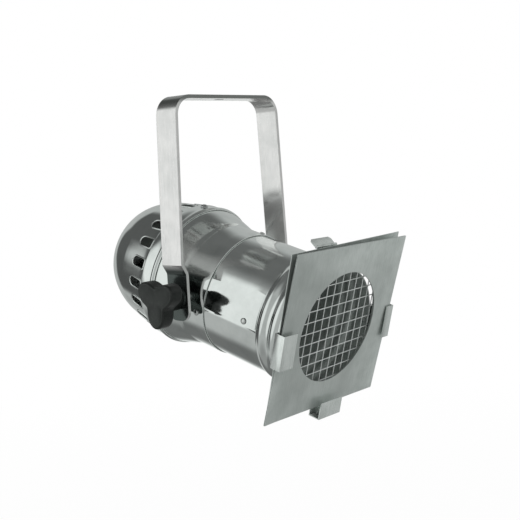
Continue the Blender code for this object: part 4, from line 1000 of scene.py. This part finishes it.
HEAD_LEVELS += [(KNOB_TOP - 0.25 * MM, KNOB_EDGE + 1.4 * MM), (KNOB_TOP - 0.7 * MM, KNOB_EDGE + 3.4 * MM)]
print("knob levels:", len(HUB_LEVELS), "round and", len(HEAD_LEVELS), "lobed")

# %% Build both knobs


def lobed(angle, phase, inset):
    """The knob's outline at an angle, pulled in by an inset."""
    mean, swing = (LOBE_R + WAIST_R) / 2, (LOBE_R - WAIST_R) / 2
    return mean + swing * math.cos(3 * (angle - phase)) - inset


def build_knob(side_name, turn, phase):
    """A knob about its own Z, turned out from the can's axis."""
    place = CAN @ Matrix.Rotation(turn, 4, "X")
    form = bmesh.new()
    loops = []
    for lobes, levels in ((False, HUB_LEVELS), (True, HEAD_LEVELS)):
        for level, size in levels:
            loop = []
            for angle in around(KNOB_STEPS):
                radius = lobed(angle, phase, size) if lobes else size
                spot = Vector((radius * math.cos(angle), radius * math.sin(angle), level))
                loop.append(form.verts.new(place @ spot))
            loops.append(loop)
    bridge(form, loops)
    form.faces.new(loops[0])
    middle = form.verts.new(place @ Vector((0, 0, KNOB_TOP - DISH)))
    bridge(form, [loops[-1], [middle]])
    name = f"hand_knob_{side_name}"
    mesh = mesh_from(name, form, 50)
    knob = add_piece(name, mesh, BLACK, f"knob_{side_name}", f"clamp_knob_{side_name}")
    bore = place @ Matrix.Rotation(-math.pi / 2, 4, "Y")
    return drilled(knob, turned("bore", rod(INSERT_R, HUB_Y - 4 * MM, INSERT_END), bore, 40))


for side_name, turn, degrees in (("near", math.pi / 2, 42), ("far", -math.pi / 2, 20)):
    knob = build_knob(side_name, turn, math.radians(degrees))
    print(knob.name, len(knob.data.polygons), "faces")

# %% [markdown]
# ## Rivets and screws
# Dome-headed rivets hold the tube's lap and the housing's neck; two screws with a cross
# recess hold the cap. The solids are plain twelve-sided ones, so each is turned again with
# a round head. Their places repeat the solids': a station along the can and an angle round
# it. The recess could be a dark cross painted on, but a cut one is right from every side.

# %% Rivets
DOME_R, DOME_HEIGHT, DOME_STEPS, SHANK_R = 3.2 * MM, 1.3 * MM, 8, 1.6 * MM


def outward(station, angle):
    """A place whose X points out of the can at a station and an angle."""
    stand = CAN @ Matrix.Translation((station, 0, 0)) @ Matrix.Rotation(-angle, 4, "X")
    return stand @ Matrix.Rotation(-math.pi / 2, 4, "Z")


def build_rivet(name, station, angle, outer):
    """A domed head outside and a small set head inside."""
    head, tail = outer + PLAY, BORE_R - PLAY
    profile = [(0, head + DOME_HEIGHT)]
    for index in range(1, DOME_STEPS + 1):
        rise = math.pi / 2 * (1 - index / DOME_STEPS)
        profile.append((DOME_R * math.cos(rise), head + DOME_HEIGHT * math.sin(rise)))
    profile += [(SHANK_R, head), (SHANK_R, tail), (2.4 * MM, tail), (1.9 * MM, tail - 0.8 * MM),
                (0, tail - 1 * MM)]
    mesh = turned(name, profile, outward(station, angle), 32)
    return add_piece(name + "_turned", mesh, ALUMINIUM, "can", name)


rivets = [build_rivet("seam_rivet", 80.2 * MM, math.radians(0.8), TUBE_R + SEAM_STEP)]
for number in range(3):
    angle = math.radians(-11 + 120 * number)
    rivets.append(build_rivet(f"neck_rivet_{number + 1}", 16.0 * MM, angle, NECK_R))
print("rivets:", [rivet.name for rivet in rivets])

# %% Cap screws
HEAD_R, HEAD_HEIGHT, SCREW_R, RECESS_DEEP = 4.0 * MM, 2.4 * MM, 1.9 * MM, 1.3 * MM
RECESS_LONG, RECESS_WIDE = 2.0 * MM, 0.5 * MM


def build_cap_screw(name, station, angle):
    """A pan head with a cross recess."""
    seat = CAP_R + PLAY
    top = seat + HEAD_HEIGHT
    profile = [(0, top), (1.6 * MM, top - 0.05 * MM), (2.6 * MM, top - 0.35 * MM),
               (3.4 * MM, top - 0.95 * MM), (3.9 * MM, seat + 1.0 * MM), (HEAD_R, seat + 0.5 * MM),
               (HEAD_R, seat), (SCREW_R, seat), (SCREW_R, seat - 8 * MM), (0, seat - 9.9 * MM)]
    place = outward(station, angle)
    screw = add_piece(name + "_turned", turned(name, profile, place, 40), ZINC, "can", name)
    stand = place @ Matrix.Rotation(math.pi / 2, 4, "Y")
    for half_y, half_z in ((RECESS_LONG, RECESS_WIDE), (RECESS_WIDE, RECESS_LONG)):
        form = extruded(rectangle(half_y, half_z), stand, top - RECESS_DEEP, top + 3 * MM)
        drilled(screw, mesh_from("recess", form))
    return screw


for number in range(2):
    screw = build_cap_screw(f"cap_screw_{number + 1}", -49.8 * MM, math.radians(88 + 180 * number))
    print(screw.name, len(screw.data.polygons), "faces")

# %% [markdown]
# ## The lamp
# The lamp is one sealed bulb: a pressed glass front, a silvered bowl behind it and a brass
# screw cap. Light passes the wires and the stippled glass before it meets the bowl, so the
# window looks dark with soft glints, and the bowl's silver is painted darker than clean
# silver as painted shade. The bowl is a parabola, as on a real one, so that its reflections
# swell and shrink as they should.

# %% The lens
LAMP_R, LENS_FACE, LENS_SAG, LENS_EDGE, LENS_THICK = (x * MM for x in (60.5, 62, 6, 4.5, 3.5))
LAMP_STEPS, LAMP_TURN_STEPS = 24, 144
LENS_REAR = LENS_FACE - LENS_SAG - LENS_EDGE
shares = [index / LAMP_STEPS for index in range(LAMP_STEPS + 1)]
inner_r = LAMP_R - LENS_THICK
front = [(LAMP_R * share, LENS_FACE - LENS_SAG * share ** 2) for share in shares]
back = [(inner_r * share, LENS_FACE - LENS_THICK - LENS_SAG * share ** 2) for share in shares]
profile = front + [(LAMP_R, LENS_REAR), (inner_r, LENS_REAR)] + back[::-1]
mesh = turned("lamp_lens_glass", profile, CAN, LAMP_TURN_STEPS)
lens = add_piece("lamp_lens_glass", mesh, LENS_GLASS, "lamp", "lamp_lens")
print("lens:", len(lens.data.polygons), "faces")

# %% The bowl
BOWL_VERTEX, BOWL_NECK, BOWL_WALL = -28.5 * MM, -20.0 * MM, 2 * MM
LAMP_NECK_R, LAMP_REAR = 16.5 * MM, -45 * MM
focus = LAMP_R ** 2 / (4 * (LENS_REAR - BOWL_VERTEX))
start = LENS_REAR - PLAY
stations = [start + (BOWL_NECK - start) * share for share in shares]
outside = [(math.sqrt(4 * focus * (station - BOWL_VERTEX)), station) for station in stations]
inside = [(radius - BOWL_WALL, station) for radius, station in outside]
profile = [(0, BOWL_NECK)] + inside[::-1] + outside + [(LAMP_NECK_R, LAMP_REAR), (0, LAMP_REAR)]
mesh = turned("lamp_bowl", profile, CAN, LAMP_TURN_STEPS)
bowl = add_piece("lamp_bowl", mesh, LAMP_MIRROR_WITH_PAINTED_SHADE, "lamp", "lamp_reflector")
print("bowl:", len(bowl.data.polygons), "faces, focus", round(1000 * focus, 1), "mm from its vertex")

# %% [markdown]
# ## Carrying over the small solids
# The clips, the latch, the clamps and everything inside keep their solids, because their
# shapes are already right. They still need smooth faces where they are round, tiny soft
# corners where they are cut, and their finishes.

# %% Dress the solids that stay
SOFT = {"clip_left": 0.22, "clip_right": 0.22, "clip_bottom": 0.22,
        "latch_bracket": 0.2, "top_latch": 0.2}
WELD_REACH, CRISP_ANGLE = 0.01 * MM, math.radians(32)
kept = [name for name, node in NODES.items() if not node.hide_render]
for name in kept:
    node = NODES[name]
    node.data.materials.clear()
    node.data.materials.append(CLIP if name in SOFT else FINISHES[SLOT_OF[name]])
    for face in node.data.polygons:
        face.use_smooth = True
    weld = node.modifiers.new("weld", "WELD")
    weld.merge_threshold = WELD_REACH
    if name in SOFT:
        softened(node, SOFT[name] * MM)
    else:
        split = node.modifiers.new("crisp_edges", "EDGE_SPLIT")
        split.split_angle = CRISP_ANGLE
print("kept", len(kept), "solids:", kept)

# %% [markdown]
# ## The studio
# Polished metal is a picture of its room. A real studio has a big soft light beside the
# camera, a darker ceiling and back wall, and a pale table. Cards and lamps could stand
# there as in a real studio, but each would show its edges. So the room is painted on the
# world, as soft patches by direction, and only reflections see it. The camera sees white,
# and matt things get a plain sky that darkens upwards and two soft lights.

# %% Patches of light and dark that the metal sees
ROOM_BASE, SKY_LOW, SKY_HIGH = 0.47, (0.62, 0.62, 0.62), (0.28, 0.28, 0.28)
ROOM_PATCHES = (
    # azimuth, elevation, inner and outer half angle, brightness
    (0, -90, 35, 62, 0.30),
    (168, -46, 14, 28, 0.17),
    (0, 90, 30, 52, 0.14),
    (-170, 12, 17, 23, 0.10),
    (-174, 42, 17, 25, 0.10),
    (-170, -7, 11, 18, 0.09),
    (135, -15, 7, 15, 0.85),
    (-121, 12, 26, 36, 0.86),
)


def aim(azimuth, elevation):
    """A direction in the room, with azimuth 0 along +X."""
    turn, rise = math.radians(azimuth), math.radians(elevation)
    return Vector((math.cos(turn) * math.cos(rise), math.sin(turn) * math.cos(rise), math.sin(rise)))


def room_grey(value):
    """The room's grey, with the slight green that the metal shows in the photograph."""
    return (value, value * 1.03, value * 1.015)


print("room patches:", len(ROOM_PATCHES))

# %% Paint the room on the world
world = bpy.data.worlds.new("studio")
bpy.context.scene.world = world
world.use_nodes = True
tree = world.node_tree
tree.nodes.clear()
direction = tool(tree, "ShaderNodeTexCoord").outputs["Generated"]
level = room_grey(ROOM_BASE)
for azimuth, elevation, inner, outer, brightness in ROOM_PATCHES:
    near = tool(tree, "ShaderNodeVectorMath", {0: direction, 1: aim(azimuth, elevation)},
                operation="DOT_PRODUCT").outputs["Value"]
    share = tool(tree, "ShaderNodeMapRange",
                 {"Value": near, "From Min": math.cos(math.radians(outer)),
                  "From Max": math.cos(math.radians(inner))},
                 interpolation_type="SMOOTHSTEP").outputs["Result"]
    level = mixed(tree, share, level, room_grey(brightness))
path = tool(tree, "ShaderNodeLightPath").outputs
mirrored = larger_of(tree, path["Is Glossy Ray"], path["Is Transmission Ray"])
height = parts_of(tree, direction)["Z"]
plain = mixed(tree, spread(tree, height, 0.1, 0.8), SKY_LOW, SKY_HIGH)
soft = mixed(tree, mirrored, plain, level)
seen = mixed(tree, path["Is Camera Ray"], soft, (1.0, 1.0, 1.0))
back = tool(tree, "ShaderNodeBackground", {"Color": seen, "Strength": 1.0})
tree.links.new(back.outputs[0], tool(tree, "ShaderNodeOutputWorld").inputs["Surface"])
print("the world has", len(tree.nodes), "tools")

# %% Soft lights for the matt pieces


def soft_light(name, azimuth, elevation, distance, size, power):
    """A square soft light that looks at the can. Its own mirror image is left to the room."""
    lamp = bpy.data.lights.new(name, "AREA")
    lamp.size = size
    lamp.energy = power
    item = put(name, lamp)
    away = aim(azimuth, elevation)
    item.location = PIVOT + away * distance
    item.rotation_euler = away.to_track_quat("Z", "Y").to_euler()
    item.visible_glossy = False
    return item


soft_light("key_light", -115, 14, 1.6, 1.0, 16)
soft_light("fill_light", 20, 20, 1.8, 1.2, 7)
print("two soft lights")

# %% [markdown]
# ## The floor
# The can hangs well above a pale floor. The camera sees the floor as white, mixed with a
# little of its real shading, so that it keeps a trace of the can's shadow. Further out the
# floor fades to full white, so it has no edge against the white behind it.

# %% The floor's sheet
FLOOR_Z, FLOOR_SIZE = -0.9, 8.0
FADE_START, FADE_END, WHITE_SHARE = 1.0, 2.6, 0.965
form = bmesh.new()
bmesh.ops.create_grid(form, x_segments=4, y_segments=4, size=FLOOR_SIZE / 2)
bmesh.ops.translate(form, vec=(0, 0, FLOOR_Z), verts=form.verts)
floor_mesh = plain_mesh("studio_floor", form)
floor = put("studio_floor", floor_mesh)
floor.visible_glossy = False
floor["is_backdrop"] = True
print("floor", FLOOR_SIZE, "m square")

# %% The floor's finish
floor_finish = bpy.data.materials.new("pale_floor")
floor_finish.use_nodes = True
tree = floor_finish.node_tree
tree.nodes.clear()
grain = noise(tree, room_place(tree), 3, 3)
pale = mixed(tree, grain, (0.82, 0.82, 0.82), (0.86, 0.86, 0.86))
paint = tool(tree, "ShaderNodeBsdfDiffuse", {"Color": pale})
white = tool(tree, "ShaderNodeEmission", {"Color": (1, 1, 1, 1), "Strength": 1.0})
far = tool(tree, "ShaderNodeVectorMath", {0: room_place(tree)}, operation="LENGTH").outputs["Value"]
fade = spread(tree, far, FADE_START, FADE_END, WHITE_SHARE, 1.0)
share = both_of(tree, tool(tree, "ShaderNodeLightPath").outputs["Is Camera Ray"], fade)
look = tool(tree, "ShaderNodeMixShader", {0: share, 1: paint.outputs[0], 2: white.outputs[0]})
tree.links.new(look.outputs[0], tool(tree, "ShaderNodeOutputMaterial").inputs["Surface"])
floor_mesh.materials.append(floor_finish)
print("made", floor_finish.name)

# %% [markdown]
# ## The camera
# A short telephoto lens, about a metre away, a little above the can and turned a few
# degrees off level. These numbers came from matching the frame's corners, the yoke, the
# tube's mouth and the cap in the photograph to the same points on the solids.

# %% The camera
camera_data = bpy.data.cameras.new("camera")
camera_data.sensor_width = 36
camera_data.lens = 65.552
camera_data.shift_x = 0.02888
camera_data.shift_y = -0.00369
camera = put("camera", camera_data)
camera.location = (0.69400, -0.71884, -0.06538)
right = Vector((0.734545, 0.676094, -0.057806))
ahead = Vector((-0.677932, 0.727532, -0.105385))
above = right.cross(ahead)
camera.rotation_euler = Matrix((right, above, -ahead)).transposed().to_euler()
bpy.context.scene.camera = camera
bpy.context.scene.view_settings.view_transform = "Standard"
print("camera is", round((camera.location - PIVOT).length, 3), "m from the pivot")

# %% Measure and finish
NEW_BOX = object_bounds()
growth = (*(CAD_BOX[0] - NEW_BOX[0]), *(NEW_BOX[1] - CAD_BOX[1]))
print("grows by, in mm:", [round(1000 * value, 2) for value in growth])
